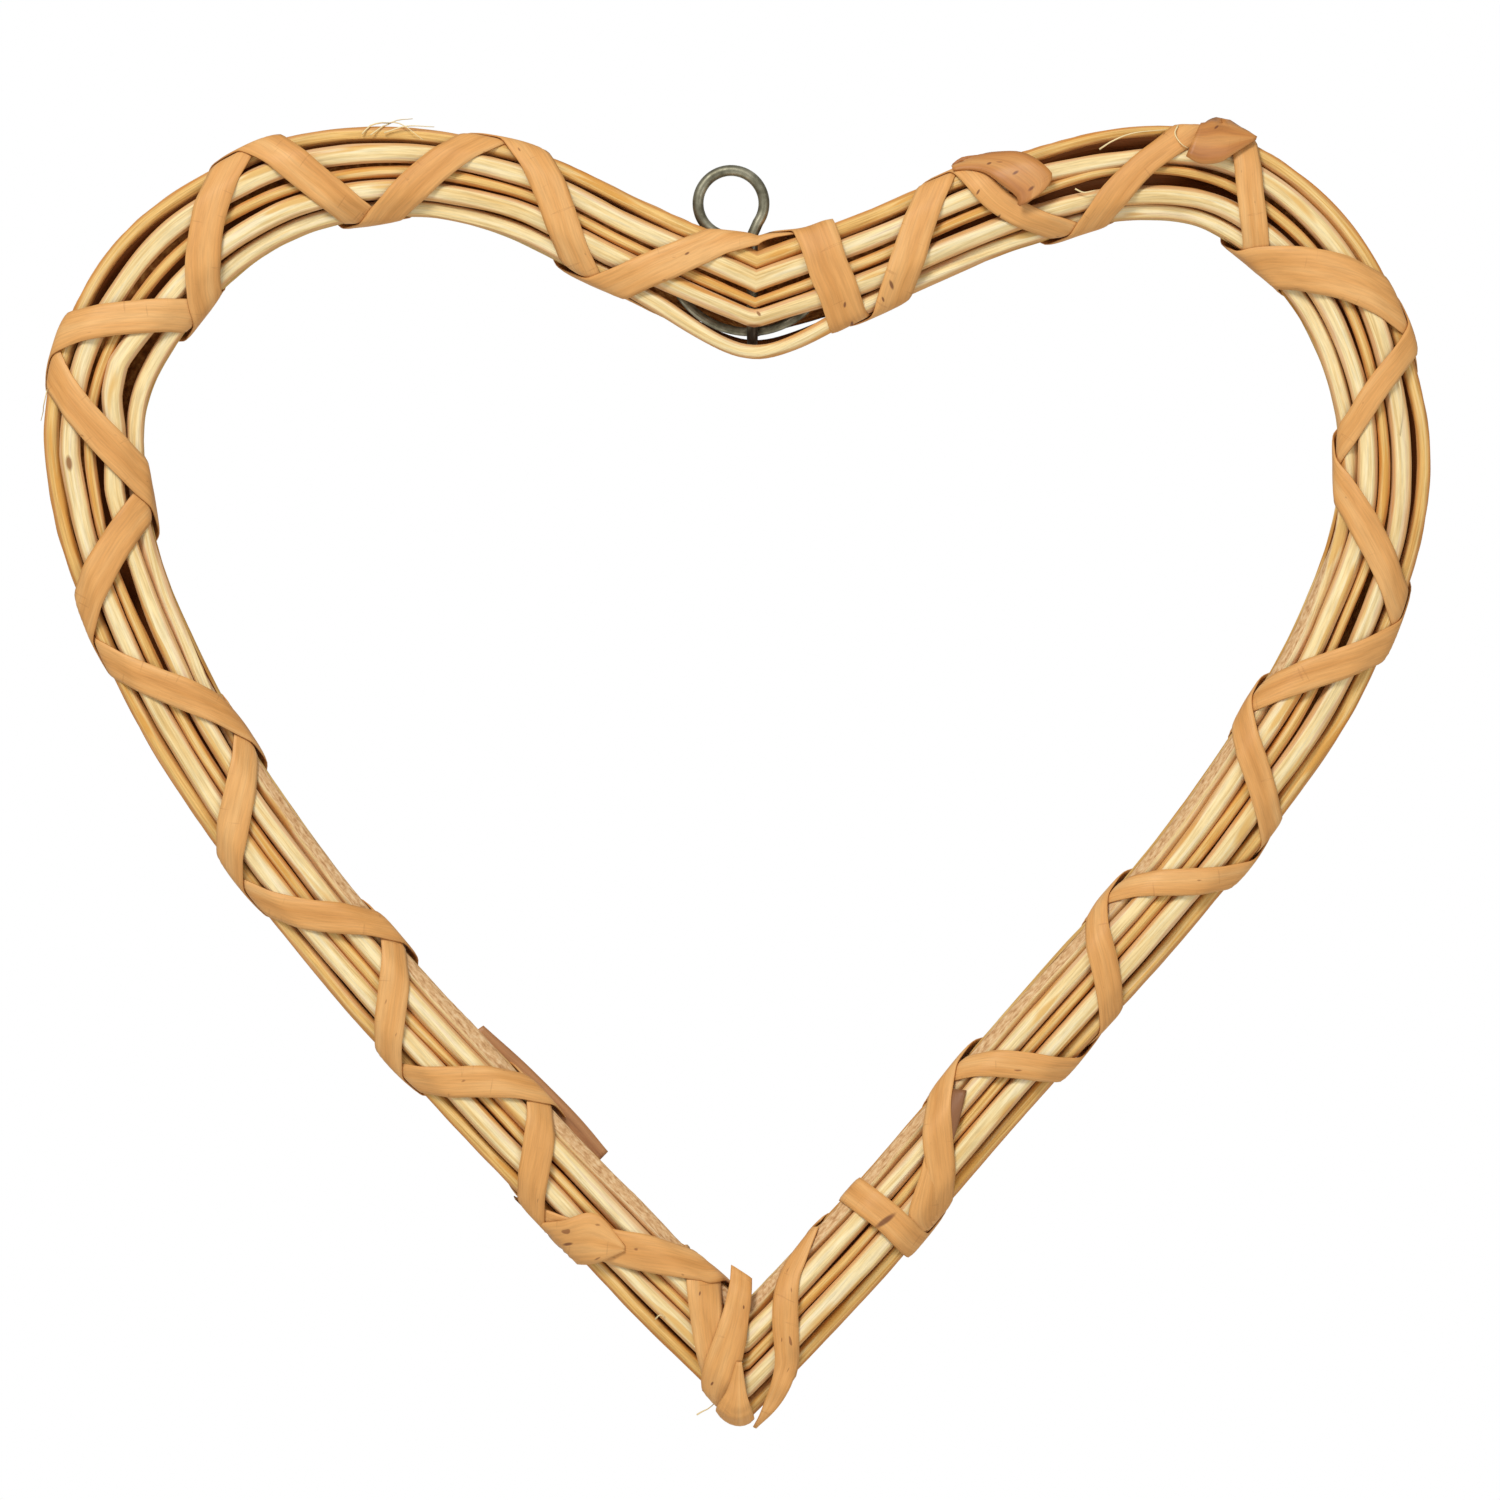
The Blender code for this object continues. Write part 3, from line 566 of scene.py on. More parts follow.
# strips: sizes, and where they cross the front, by steps along the band
strips = {
    "width": 5.2 * mm,
    "thick": 0.45 * mm,
    "across": 9,  # points across a strip
    "run": 0.9 * mm,  # length between its stations
    "samples": 400,  # points that measure a wound strip's path
    "ahead": 0.01,  # of a turn, to find which way it runs
    "crown": 0.12 * mm,  # how far the middle stands over the edges
    "topRound": 0.3, "underRound": 0.25,  # how its faces thin at the edges
    "roundPower": 8, "darkPower": 6,  # how late across it they thin, and how late the side value rises, which the strip colours don't read
    "lift": 0.62 * mm,  # the upper strip over the lower where they cross
    "wave": 0.05, "waves": 70,  # its edges' waves, as a share, and their number in a metre
    "looseWave": 0.02, "looseWaves": 110,
    "rough": 0.06 * mm, "roughWaves": 160, "roughAcross": 1.2,
    "seedStep": 3.7, "sideStep": 2,  # how far apart in the noise the strips' and the edges' waves lie
    "notchBridge": 2.0 * mm, "notchReach": 14 * mm, "notchWidth": 0.92,
    "shankReach": 7.5 * mm, "shankTurns": (-0.05, 0.16), "shankEase": 0.04, "shankGap": 0.1 * mm,
    "shankHold": 3,  # it stands clear of the shank over all but a third of the reach
    "startLap": 0.06, "endLap": 0.04,  # turns that run on under the tip's loose strips
    "endEase": 0.3,  # turns over which a strip's end comes down
    "sagOver": 0.4, "leaveOver": 0.15,  # a loose strip sags and leaves over these shares of its length
    "fewest": 8, "evenOut": 0.0005,  # its least stations, and its whole direction's share in each point's
    "aStart": (-351, 0.72), "aNotch": [(-9, 0.1), (0, 0.045)],
    # each crossing: where it enters at an edge, its middle, where it leaves, and its width as a share
    "a": [
        (-344, -328, -310, 1.19), (-298, -286, -275, 1.04), (-258, -246, -232, 1.04),
        (-211, -196, -184, 1.04), (-162, -147, -137, 1.08), (-119, -106, -93, 1.12),
        (-76, -64, -53, 1.12), (-29, -18, 10.5, 1.08), (20, 31, 42, 1.1), (59, 73, 85, 0.96),
        (101, 114, 128, 1.42), (150, 165, 177, 1.04), (202, 212, 221, 0.96), (247, 256, 265, 0.92),
        (288, 301, 312, 1), (328, 340, 346, 0.88),
    ],
    "b": [
        (-350, -346.5, -341, 1.08), (-314, -304, -294, 1.04), (-276, -266, -255, 1.04),
        (-233, -221, -209, 1.08), (-182, -170, -159, 1.12), (-136, -127, -117, 1.12),
        (-93, -85, -74, 1.15), (-52, -40, -26, 1.12), (12, 15, 17, 1.42), (43, 48.3, 62, 0.88),
        (86.5, 94, 106, 0.9), (128, 136, 150, 0.84), (177, 189, 203, 1.04), (225, 236, 247, 0.9),
        (272, 280, 290, 0.92), (315, 316, 317, 1.06),
    ],
}


# a point over the skin; turn 0 is the outer edge, 0.25 the front, 0.5 the inner edge
def wrapPoint(place, turn, height, overShank=False):
    angle = turnAngle(turn)
    middle, radius = skinAt(place, angle)
    radius += skin["stand"] + height
    out = middle + radius * math.cos(angle)
    front = radius * math.sin(angle)
    nearNotch = ease(1 - abs(place) / strips["notchReach"])
    out += strips["notchBridge"] * nearNotch * ease(math.cos(turn * 2 * math.pi))
    beside = turn - round(turn)
    first, last = strips["shankTurns"]
    if overShank and abs(place) < strips["shankReach"] and first < beside < last:
        near = 1 - abs(place) / strips["shankReach"]
        hold = ease(strips["shankHold"] * near) * ease((beside - first) / strips["shankEase"])
        front = max(front, (eyePlane + wires["eyeWire"] / 2 + strips["shankGap"]) * hold + height)
    return toWorld(place, out, front)


# where a strip's middle passes: place, turn and width
def stripKnots(start, crossings, direction):
    knots = [(placeAt(start[0]), start[1], crossings[0][3] * strips["width"])] if start else []
    base = 0.0 if direction > 0 else 0.5
    for count, (enter, middle, leave, share) in enumerate(crossings):
        width = share * strips["width"]
        if count > 0:
            behind = (crossings[count - 1][2] + enter) / 2
            knots.append((placeAt(behind), base - direction * 0.25, width))
        for steps, turn in ((enter, 0), (middle, 0.25), (leave, 0.5)):
            knots.append((placeAt(steps), base + direction * turn, width))
        base += direction
    return knots


# a smooth way through the knots: place and width at a turn
def smoothPath(knots, direction):
    places = [knot[0] for knot in knots]
    turns = [knot[1] * direction for knot in knots]
    slopes = []
    for index in range(len(knots)):
        (fromPlace, toPlace), (fromTurn, toTurn) = neighbours(places, index), neighbours(turns, index)
        slopes.append((toPlace - fromPlace) / (toTurn - fromTurn))

    def path(turn):
        index, share = stepOf(turns, turn * direction)
        share = clamp(share)
        span = turns[index + 1] - turns[index]
        leave, arrive = slopes[index] * span, slopes[index + 1] * span
        place = curve(places[index], leave, places[index + 1], arrive, share)
        return place, blend(knots[index][2], knots[index + 1][2], ease(share))

    return path


def overLift(turn, overInner):
    wave = math.cos(turn * 2 * math.pi)
    return strips["lift"] * ease((1 - wave if overInner else 1 + wave) / 2)


def stretchAt(place, turn):
    step = 0.5 * mm
    return (wrapPoint(place + step, turn, 0) - wrapPoint(place - step, turn, 0)).length / (2 * step)


# a strip's ring of points goes across its top and back under it: is it on top, which step across, and
# the share from one edge, -1, to the other, 1
def stripCorner(corner):
    top = corner < strips["across"]
    step = corner if top else 2 * strips["across"] - 1 - corner
    return top, step, 2 * step / (strips["across"] - 1) - 1


# height of its top or its underside there
def stripFace(top, share):
    edge = share ** strips["roundPower"]
    thin = 1 - strips["topRound"] * edge if top else strips["underRound"] * edge
    return strips["crown"] * (1 - share * share) + strips["thick"] * thin


def edgeWave(along, waves, seed, share):
    side = math.copysign(strips["sideStep"], share)
    return noise.noise(Vector((along * waves, seed * strips["seedStep"], side)))


# a strip along a path, from one turn to another; height(turn) is its underside
def makeStrip(name, path, firstTurn, lastTurn, height, seed, overShank):
    ahead = math.copysign(strips["ahead"], lastTurn - firstTurn)
    coarse = [blend(firstTurn, lastTurn, share) for share in evenly(1, strips["samples"])]
    travel = addUp(math.hypot(path(b)[0] - path(a)[0], (b - a) * girth) for a, b in zip(coarse, coarse[1:]))
    along = evenly(travel[-1], round(travel[-1] / strips["run"]))
    stations = []
    for wanted in along:
        index, share = stepOf(travel, wanted)
        turn = blend(coarse[index], coarse[index + 1], share)
        place, width = path(turn)
        run = Vector((path(turn + ahead)[0] - place, ahead * girth))
        side = Vector((-run.y, run.x)).normalized()
        stations.append((place, turn, width, side, stretchAt(place, turn)))

    def placeVertex(station, corner):
        place, turn, width, side, stretch = stations[station]
        top, step, share = stripCorner(corner)
        uneven = 1 + strips["wave"] * edgeWave(along[station], strips["waves"], seed, share)
        reach = side * share * width / 2 * uneven
        edgeTurn = turn + reach.y / girth
        roughAt = Vector((along[station] * strips["roughWaves"], share * strips["roughAcross"], seed))
        rough = noise.noise(roughAt)
        lift = height(edgeTurn) + strips["rough"] * rough + stripFace(top, share)
        point = wrapPoint(place + reach.x / stretch, edgeTurn, lift, overShank)
        return point, 0.0 if top else 1.0, abs(share) ** strips["darkPower"]

    return makeBar(name, 2 * strips["across"], placeVertex, along, 2 * strips["width"])


# strips that follow no even winding: both edges in mm across and up from the hanging point, and lift, how
# high they lie on the canes at their start and end. Some leave the skin: at shares of their length, how
# far in front of the eye they are. Sag is how far the middle hangs, fine means closer stations, hold keeps
# the front view while a strip is lifted, and back shows the dark side.
loose = {
    "tipStripUnder": {
        "left": [(-8.5, -193), (-7.5, -205), (-5.5, -215), (-3, -222.5)],
        "right": [(-2.5, -192), (-1.5, -205), (0, -216), (2, -223.5)], "lift": (0.1, 0.1)},
    "tipStrip": {
        "left": [(0, -196.5), (-0.5, -201), (-2.5, -208), (-5, -215), (-5, -219.5), (-3, -222.5)],
        "right": [(3.8, -199), (3.5, -204), (2.5, -211.5), (1, -217), (-2, -222.5)],
        "lift": (0.6, 0.8), "leave": [(0, 3.4), (0.16, 5.6), (0.34, 6.8)]},
    "tipCap": {
        "left": [(1, -213.5), (-0.6, -218.6), (-2.4, -221.8), (-2.4, -223), (-2.2, -222), (-2, -217)],
        "right": [(2, -213.5), (2.9, -219.5), (4, -223.2), (4.1, -224.4), (4, -223.2), (3.8, -218)],
        "lift": (1.3, 1.0), "sag": 1.6, "fine": 2.5,
        "leave": [(0.16, 7.2), (0.4, 7.2), (0.52, 6.4), (0.59, 4.4), (0.65, 0), (0.71, -4.4),
            (0.8, -6.6), (1, -7.4)]},
    "tipLastRun": {
        "left": [(14.7, -190.2), (10.1, -196), (8, -201), (7.4, -207), (7.8, -215), (5.5, -222.6),
            (4, -225.8)],
        "right": [(15.9, -189.8), (13.6, -195.7), (12.2, -200.6), (12.2, -212.5), (11.5, -216.6),
            (8.8, -221.7), (4.6, -226.1)],
        "lift": (0.1, 0.1), "leave": [(0.6, 7.0), (0.74, 6.4), (0.88, 4.6), (1, 2.4)]},
    "spliceEnd": {
        "left": [(-39, -184), (-37, -188.5), (-31, -188.4), (-24.5, -187), (-19, -192.8)],
        "right": [(-38, -190), (-34, -195), (-29, -196.2), (-24, -196), (-19, -193.8)],
        "lift": (0.7, 0.9)},
    "foldedFlap1": {
        "left": [(40, 2.1), (42, 3.5), (47.3, 4), (51.7, 4), (54.7, 2.7), (57.8, -0.1),
            (56.9, -2.5), (55, -4.3)],
        "right": [(40, 0.7), (42.9, 0.8), (45.8, 0.1), (49, -2.3), (51.5, -4.4), (51.6, -5.9),
            (53.3, -5.4)],
        "lift": (1.2, 2.4), "hold": True},
    "foldedFlap2": {
        "left": [(84.6, 9.2), (88.5, 10.4), (91.6, 8.9), (94.8, 6.7)],
        "right": [(81.9, 3.2), (84.5, 1.9), (88, 2.1), (90.6, 3.6), (94.6, 6.2)],
        "lift": (1.5, 1.9), "hold": True},
    "secondPly": {
        "left": [(35.5, -174), (34, -180), (32, -188), (35, -191)],
        "right": [(39, -174), (38, -181), (38, -189), (39.5, -191)], "lift": (0.1, 0.1)},
    # painted shade: a ply seen under another strip, its underside turned up and coloured dark
    "shadedUnderPly": {
        "left": [(38.5, -165), (38.5, -171), (39, -176)],
        "right": [(42.5, -165), (41, -171), (39.4, -176)], "lift": (0.05, 0.05), "back": True},
    "tuckedTail": {
        "left": [(-48.5, -156), (-41.5, -164), (-33.5, -172.3), (-25.8, -180)],
        "right": [(-44.8, -153.5), (-36, -161.5), (-27.6, -170), (-22.2, -176.3)],
        "lift": (0, 0), "leave": [(0, -3), (1, -3.2)]},
}


# a smooth line through a few points, walked by share of its length
def smoothLine(points):
    points = [Vector(point) * mm for point in points]
    ends = [points[0] * 2 - points[1]] + points + [points[-1] * 2 - points[-2]]
    line = []
    for a, b, c, d in zip(ends, ends[1:], ends[2:], ends[3:]):
        shares = evenly(1, heart["looseSamples"])[:-1]
        line.extend(curve(b, (c - a) / 2, c, (d - b) / 2, t) for t in shares)
    line.append(points[-1])
    travel = travelAlong(line)

    def walk(share):
        index, part = stepOf(travel, clamp(share) * travel[-1])
        return line[index].lerp(line[index + 1], part)

    return walk, travel[-1]


# a point of the front view laid on the skin of the bundle, at a height over it
def layOn(x, z, height):
    place, out = bandPlace(x, z)
    rise = skin["stand"] + height
    low, high = 0.0, math.pi
    for turn in range(skin["halvings"]):
        angle = (low + high) / 2
        middle, radius = skinAt(place, angle)
        if middle + (radius + rise) * math.cos(angle) > out:
            low = angle
        else:
            high = angle
    radius += rise
    return toWorld(place, middle + radius * math.cos(angle), radius * math.sin(angle))


def makeLoose(name, seed):
    shape = loose[name]
    leftEdge, leftLength = smoothLine(shape["left"])
    rightEdge, rightLength = smoothLine(shape["right"])
    length = (leftLength + rightLength) / 2
    along = evenly(length, max(strips["fewest"], round(shape.get("fine", 1) * length / strips["run"])))
    across = strips["across"]
    leave = shape.get("leave", [])

    def placePoint(t, share):
        uneven = strips["looseWave"] * edgeWave(t * length, strips["looseWaves"], seed, share)
        flat = leftEdge(t).lerp(rightEdge(t), 0.5 + share * (0.5 + uneven))
        flat.y -= shape.get("sag", 0) * mm * (1 - share * share) * ease(t / strips["sagOver"])
        point = layOn(flat.x, flat.y, blend(*shape["lift"], ease(t)) * mm)
        if shape.get("hold"):
            point.x, point.z = flat
        if leave and leave[0][0] <= t <= leave[-1][0]:
            free = Vector((flat.x, eyePlane - tableValue(leave, t) * mm, flat.y))
            arrive = 1 if leave[0][0] == 0 else ease((t - leave[0][0]) / strips["leaveOver"])
            depart = 1 if leave[-1][0] == 1 else ease((leave[-1][0] - t) / strips["leaveOver"])
            point = point.lerp(free, arrive * depart)
        return point

    grid = [[placePoint(at / length, stripCorner(step)[2]) for step in range(across)] for at in along]
    slopes = []
    for station, row in enumerate(grid):
        before, after = neighbours(grid, station)
        sides = [neighbours(row, step) for step in range(across)]
        slopes.append([(b - a).cross(right - left) for a, b, (left, right) in zip(before, after, sides)])
    total = sum((slope for row in slopes for slope in row), Vector())
    facing = -1 if total.y > 0 else 1
    normals = [[(slope + total * strips["evenOut"]).normalized() for slope in row] for row in slopes]

    def placeVertex(station, corner):
        top, step, share = stripCorner(corner)
        pith = 1.0 if top == shape.get("back", False) else 0.0
        rise = normals[station][step] * stripFace(top, share) * facing
        return grid[station][step] + rise, pith, abs(share) ** strips["darkPower"]

    return makeBar(name, 2 * across, placeVertex, along, 2 * strips["width"])


def hexColour(text):
    values = [int(text[i:i + 2], 16) / 255 for i in (1, 3, 5)]
    return tuple(v / 12.92 if v <= 0.04045 else ((v + 0.055) / 1.055) ** 2.4 for v in values) + (1.0,)


# puts numbers, hex colours or links into a node's sockets, which are named or counted
def fillSockets(tree, node, values):
    for name, value in values.items():
        if isinstance(value, bpy.types.NodeSocket):
            tree.links.new(value, node.inputs[name])
        else:
            node.inputs[name].default_value = hexColour(value) if isinstance(value, str) else value


# adds a node with its settings, what its sockets hold and a ramp's stops, and gives one of its outputs
def addNode(tree, kind, values, output=0, stops=(), **settings):
    node = tree.nodes.new("ShaderNode" + kind)
    for name, value in settings.items():
        setattr(node, name, value)
    fillSockets(tree, node, values)
    if stops:
        elements = node.color_ramp.elements
        while len(elements) < len(stops):
            elements.new(0.5)
        for element, (position, colour) in zip(elements, stops):
            element.position = position
            element.color = hexColour(colour) if isinstance(colour, str) else (colour, colour, colour, 1.0)
    return node.outputs[output]


grainStep = (3.1, 1.7)  # how far each seed moves the grain


# a noise drawn out along the grain; size is the length and the width of its patches
def grainNoise(tree, uv, size, seed, detail):
    place = addNode(tree, "Mapping", {"Vector": uv, "Scale": (1 / size[0], 1 / size[1], 1),
                                      "Location": (seed * grainStep[0], seed * grainStep[1], 0)})
    return addNode(tree, "TexNoise", {"Vector": place, "Scale": 1.0, "Detail": detail, "Roughness": 0.6})


# a colour with another laid over it where a field is high enough
def layOver(tree, colour, field, stops, over):
    share = addNode(tree, "ValToRGB", {"Fac": field}, stops=stops)
    return addNode(tree, "Mix", {"Factor": share, 6: colour, 7: over}, 2, data_type="RGBA")


# the wood's shades in streaks along the grain, darkened between its fibres
def woodColour(tree, streak, shades, fibre, fine, share):
    wood = addNode(tree, "ValToRGB", {"Fac": streak}, stops=shades)
    dark = addNode(tree, "ValToRGB", {"Fac": fibre}, stops=fine)
    return addNode(tree, "Mix", {"Factor": share, 6: wood, 7: dark}, 2, data_type="RGBA",
                   blend_type="MULTIPLY")


def newMaterial(name):
    material = bpy.data.materials.new(name)
    material.use_nodes = True
    tree = material.node_tree
    return material, tree, tree.nodes["Principled BSDF"]


# dark scars and specks on single strips, a knot, and painted shade at the notch: their middle in mm across
# and up from the hanging point, length and width in mm, and slant in degrees
marks = {
    "shavedWillow_a": [
        (-7.9, -14.3, 1.2, 0.5, 60), (28.9, -19.9, 2.2, 0.8, -20), (27.4, -22.5, 1.2, 0.5, -20),
        (76.6, -0.4, 1.8, 0.5, -40), (101.1, -21.2, 1.4, 0.6, 65), (71, -8.2, 1.2, 0.5, -40)],
    "shavedWillow_b": [
        (20.5, -23.5, 1.3, 0.6, 5), (21.8, -27, 1.5, 0.7, 5), (44.5, -3.2, 1.4, 0.5, 30),
        (48.2, -7.7, 1.4, 0.5, 35), (27.8, -188.4, 5.4, 1.3, 54),
        (47.9, -163.8, 1.6, 0.5, 80), (-54.5, -9.5, 0.9, 0.4, 35)],
    "shavedWillow_foldedFlap1": [
        (51.2, 0.2, 1.6, 0.7, 60), (54, -2.7, 1.9, 0.8, 50),
        (46.5, 2.0, 1.1, 0.5, 70)],
    "shavedWillow_foldedFlap2": [(87.5, 8.6, 1.2, 0.5, 50)],
    "shavedWillow_spliceEnd": [(-29.4, -192.7, 2.2, 0.7, 80), (-34, -190.5, 1.0, 0.4, 60)],
    "shavedWillow_tipStrip": [(-3.4, -217.8, 1.0, 0.5, 30), (2.3, -204, 0.9, 0.4, 0)],
    "shavedWillow_tipStripUnder": [(-6.2, -198, 0.9, 0.4, 10), (-5.6, -201.5, 1.0, 0.4, 10)],
    "peeledWillow_front2": [(-119.2, -52, 3.4, 1.4, -8)],
    # painted shade: cane front 4's two marks and the wires' marks darken the shadowed gap at the notch
    # round the shank's lower end
    "peeledWillow_front4": [(5, -25.1, 1.3, 0.7, -40), (4, -27.5, 4.4, 1.3, 90)],
    "galvanisedWire_eye": [(4.2, -29.4, 6.5, 6, 0)], "galvanisedWire_bow": [(4.2, -28.6, 5, 5, 0)],
}
markDepth = {"middle": -4 * mm, "reach": 9 * mm}  # only the front is marked


def addMarks(tree, colour, name, shade):
    spot = addNode(tree, "TexCoord", {}, "Object")
    for x, z, length, width, slant in marks.get(name, []):
        local = addNode(tree, "Mapping", {
            "Vector": spot, "Location": (x * mm, markDepth["middle"], z * mm),
            "Rotation": (0, math.radians(slant), 0),
            "Scale": (width / 2 * mm, markDepth["reach"], length / 2 * mm)}, vector_type="TEXTURE")
        reach = addNode(tree, "VectorMath", {0: local}, "Value", operation="LENGTH")
        colour = layOver(tree, colour, reach, [(0.55, 0.85), (1.0, 0.0)], shade)
    return colour


# peeled willow: cream wood with lengthwise fibres 0.24 mm wide in streaks 0.7 mm wide, ochre skin left in
# long patches, a rough brown pith channel where the rod was split, and painted shade on the sides that turn
# from the front
def willowMaterial(name, look, seed):
    material, tree, shader = newMaterial(name)
    uv = addNode(tree, "UVMap", {}, uv_map="grain")
    streak = grainNoise(tree, uv, (30 * mm, 0.7 * mm), seed, 5.0)
    fibre = grainNoise(tree, uv, (6 * mm, 0.24 * mm), seed + 5, 4.0)
    patch = grainNoise(tree, uv, (26 * mm, 2.4 * mm), seed + 9, 2.0)
    rough = grainNoise(tree, uv, (1.6 * mm, 0.5 * mm), seed + 13, 5.0)
    wood = woodColour(tree, streak, list(zip((0.3, 0.5, 0.7), look["shades"])),
                      fibre, [(0.36, 0.66), (0.58, 1.0)], 0.55)
    skinEdge = [(look["skinFrom"], 0.0), (look["skinFrom"] + 0.06, 1.0)]
    wood = layOver(tree, wood, patch, skinEdge, look["skin"])
    # painted shade: the sides turned from the front take the darker edge colour, broken up by the streaks
    side = addNode(tree, "Attribute", {}, "Fac", attribute_name="side")
    uneven = addNode(tree, "Math", {0: side, 1: streak}, operation="ADD")
    wood = layOver(tree, wood, uneven, [(0.62, 0.0), (0.8, look["sideShadeShare"])], look["edge"])
    shades = list(zip((0.32, 0.5, 0.68), look["core"]))
    core = addNode(tree, "ValToRGB", {"Fac": rough}, stops=shades)
    pith = addNode(tree, "Attribute", {}, "Fac", attribute_name="pith")
    wood = addNode(tree, "Mix", {"Factor": pith, 6: wood, 7: core}, 2, data_type="RGBA")
    bump = addNode(tree, "Bump", {"Height": fibre, "Strength": 0.6, "Distance": 0.22 * mm})
    fillSockets(tree, shader, {"Base Color": addMarks(tree, wood, name, "#8A5220"), "Normal": bump,
                               "Roughness": look["roughness"], "Specular IOR Level": look["shine"]})
    return material


# shaved willow strip: tan, satin, with fine lengthwise grain, dark lens-shaped specks, thin lines of
# painted shade across it standing for small folds, and a darker underside
def stripMaterial(name, look, seed):
    material, tree, shader = newMaterial(name)
    uv = addNode(tree, "UVMap", {}, uv_map="grain")
    broad = grainNoise(tree, uv, (34 * mm, 2.6 * mm), seed, 2.0)
    fibre = grainNoise(tree, uv, (5 * mm, 0.26 * mm), seed + 4, 4.0)
    speck = grainNoise(tree, uv, (3.0 * mm, 1.1 * mm), seed + 8, 1.0)
    foldShadeLine = grainNoise(tree, uv, (0.9 * mm, 7.0 * mm), seed + 17, 1.0)
    tan = woodColour(tree, broad, list(zip((0.3, 0.5, 0.72), look["shades"])),
                     fibre, [(0.34, 0.74), (0.6, 1.0)], 0.6)
    tan = layOver(tree, tan, speck, [(0.74, 0.0), (0.79, 0.8)], "#8A5226")
    tan = addMarks(tree, tan, name, "#6E3A18")
    # painted shade: faint darker lines across the strip stand for the shade in small folds
    tan = layOver(tree, tan, foldShadeLine, [(0.69, 0.0), (0.73, 0.3), (0.77, 0.0)], "#9A5F2C")
    under = addNode(tree, "Attribute", {}, "Fac", attribute_name="pith")
    tan = addNode(tree, "Mix", {"Factor": under, 6: tan, 7: look["under"]}, 2, data_type="RGBA")
    bump = addNode(tree, "Bump", {"Height": fibre, "Strength": 0.45, "Distance": 0.14 * mm})
    fillSockets(tree, shader, {"Base Color": tan, "Normal": bump, "Roughness": look["roughness"]})
    return material


# galvanised wire: dull grey zinc, spangled in soft patches a few millimetres across, with painted shade at
# the notch round the shank's lower end
def wireMaterial(name):
    material, tree, shader = newMaterial(name)
    spot = addNode(tree, "TexCoord", {}, "Object")
    field = addNode(tree, "TexNoise", {"Vector": spot, "Scale": 420.0, "Detail": 4.0})
    zinc = addNode(tree, "ValToRGB", {"Fac": field},
                   stops=[(0.35, "#6B6754"), (0.55, "#96927C"), (0.7, "#B4AE96")])
    rough = addNode(tree, "ValToRGB", {"Fac": field}, stops=[(0.3, 0.52), (0.7, 0.36)])
    bump = addNode(tree, "Bump", {"Height": field, "Strength": 0.2, "Distance": 0.1 * mm})
    fillSockets(tree, shader, {"Base Color": addMarks(tree, zinc, name, "#2C1408"), "Roughness": rough,
                               "Metallic": 0.85, "Normal": bump})
    return material


# shades go from dark to light; edge is the painted shade laid on a rod's sides, at its share
splitLook = {"shades": ("#E2BA72", "#F7DDA2", "#FEF2CC"), "skin": "#E2B66C", "skinFrom": 0.58,
             "edge": "#CC7A28", "sideShadeShare": 0.55, "core": ("#AE7A48", "#D8AC78", "#ECCB9C"),
             "roughness": 0.7, "shine": 0.45}
rodLook = {"shades": ("#CE9340", "#ECBF70", "#FADDA0"), "skin": "#DCA24C", "skinFrom": 0.57,
           "edge": "#C06C1A", "sideShadeShare": 0.6, "core": splitLook["core"], "roughness": 0.66, "shine": 0.45}
# the back row: a darker copy of the willow, painted shade for the gaps between the front canes, with a near
# black painted shade on its sides
shadedBackLook = {"shades": ("#C08840", "#DFB46E", "#EFD298"), "skin": "#C98F48", "skinFrom": 0.55,
            "edge": "#622A06", "sideShadeShare": 0.95, "core": ("#5E300E", "#8A5120", "#B07A40"),
            "roughness": 0.7, "shine": 0.1}
stripLook = {"shades": ("#D4944C", "#E2A45C", "#ECB672"), "under": "#B87A3C", "roughness": 0.6}
flapLook = {"shades": ("#A8662E", "#C5823F", "#D79C58"), "under": "#B87A3C", "roughness": 0.5}
# the tucked tail and the ply seen under a strip: a darker copy of the strip, painted shade where they lie
# back among the canes
shadedTailLook = {"shades": ("#8E5A34", "#B27C4C", "#C69666"), "under": "#8A5A34", "roughness": 0.55}


def dress(piece, node, material):
    piece.data.materials.append(material)
    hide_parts(node)
    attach(piece, "root")


for index in range(5):
    for row, offset, split in (("front", 0, canes["frontSplit"]), ("back", 5, canes["backSplit"])):
        node = "cane_%s_%d" % (row, index + 1)
        piece = makeCane(row + "Cane%d" % (index + 1), offset + index, 3.3 * index + offset)
        look = shadedBackLook if row == "back" else splitLook if split[index] else rodLook
        material = willowMaterial("peeledWillow_%s%d" % (row, index + 1), look, 2.7 * index + offset)
        dress(piece, node, material)
print("canes made")


# a wound strip; strip b's first crossing and strip a's last one are the loose strips at the tip
def makeWrap(name, crossings, direction, overInner, seed, start=None, firstKnot=0, lastKnot=-1):
    knots = stripKnots(start, crossings, direction)
    if overInner:
        following = next(i for i, knot in enumerate(knots) if knot[0] > 0)
        edge = round(knots[following][1])
        width = strips["notchWidth"] * strips["width"]
        knots[following:following] = [(placeAt(at), edge + turn, width) for at, turn in strips["aNotch"]]
    firstTurn = knots[firstKnot][1] - (strips["startLap"] * direction if firstKnot else 0)
    lastTurn = knots[lastKnot][1] - (strips["endLap"] * direction if lastKnot < -1 else 0)

    def height(turn):
        return overLift(turn, overInner) * ease(abs(turn - lastTurn) / strips["endEase"])

    return makeStrip(name, smoothPath(knots, direction), firstTurn, lastTurn, height, seed, overInner)


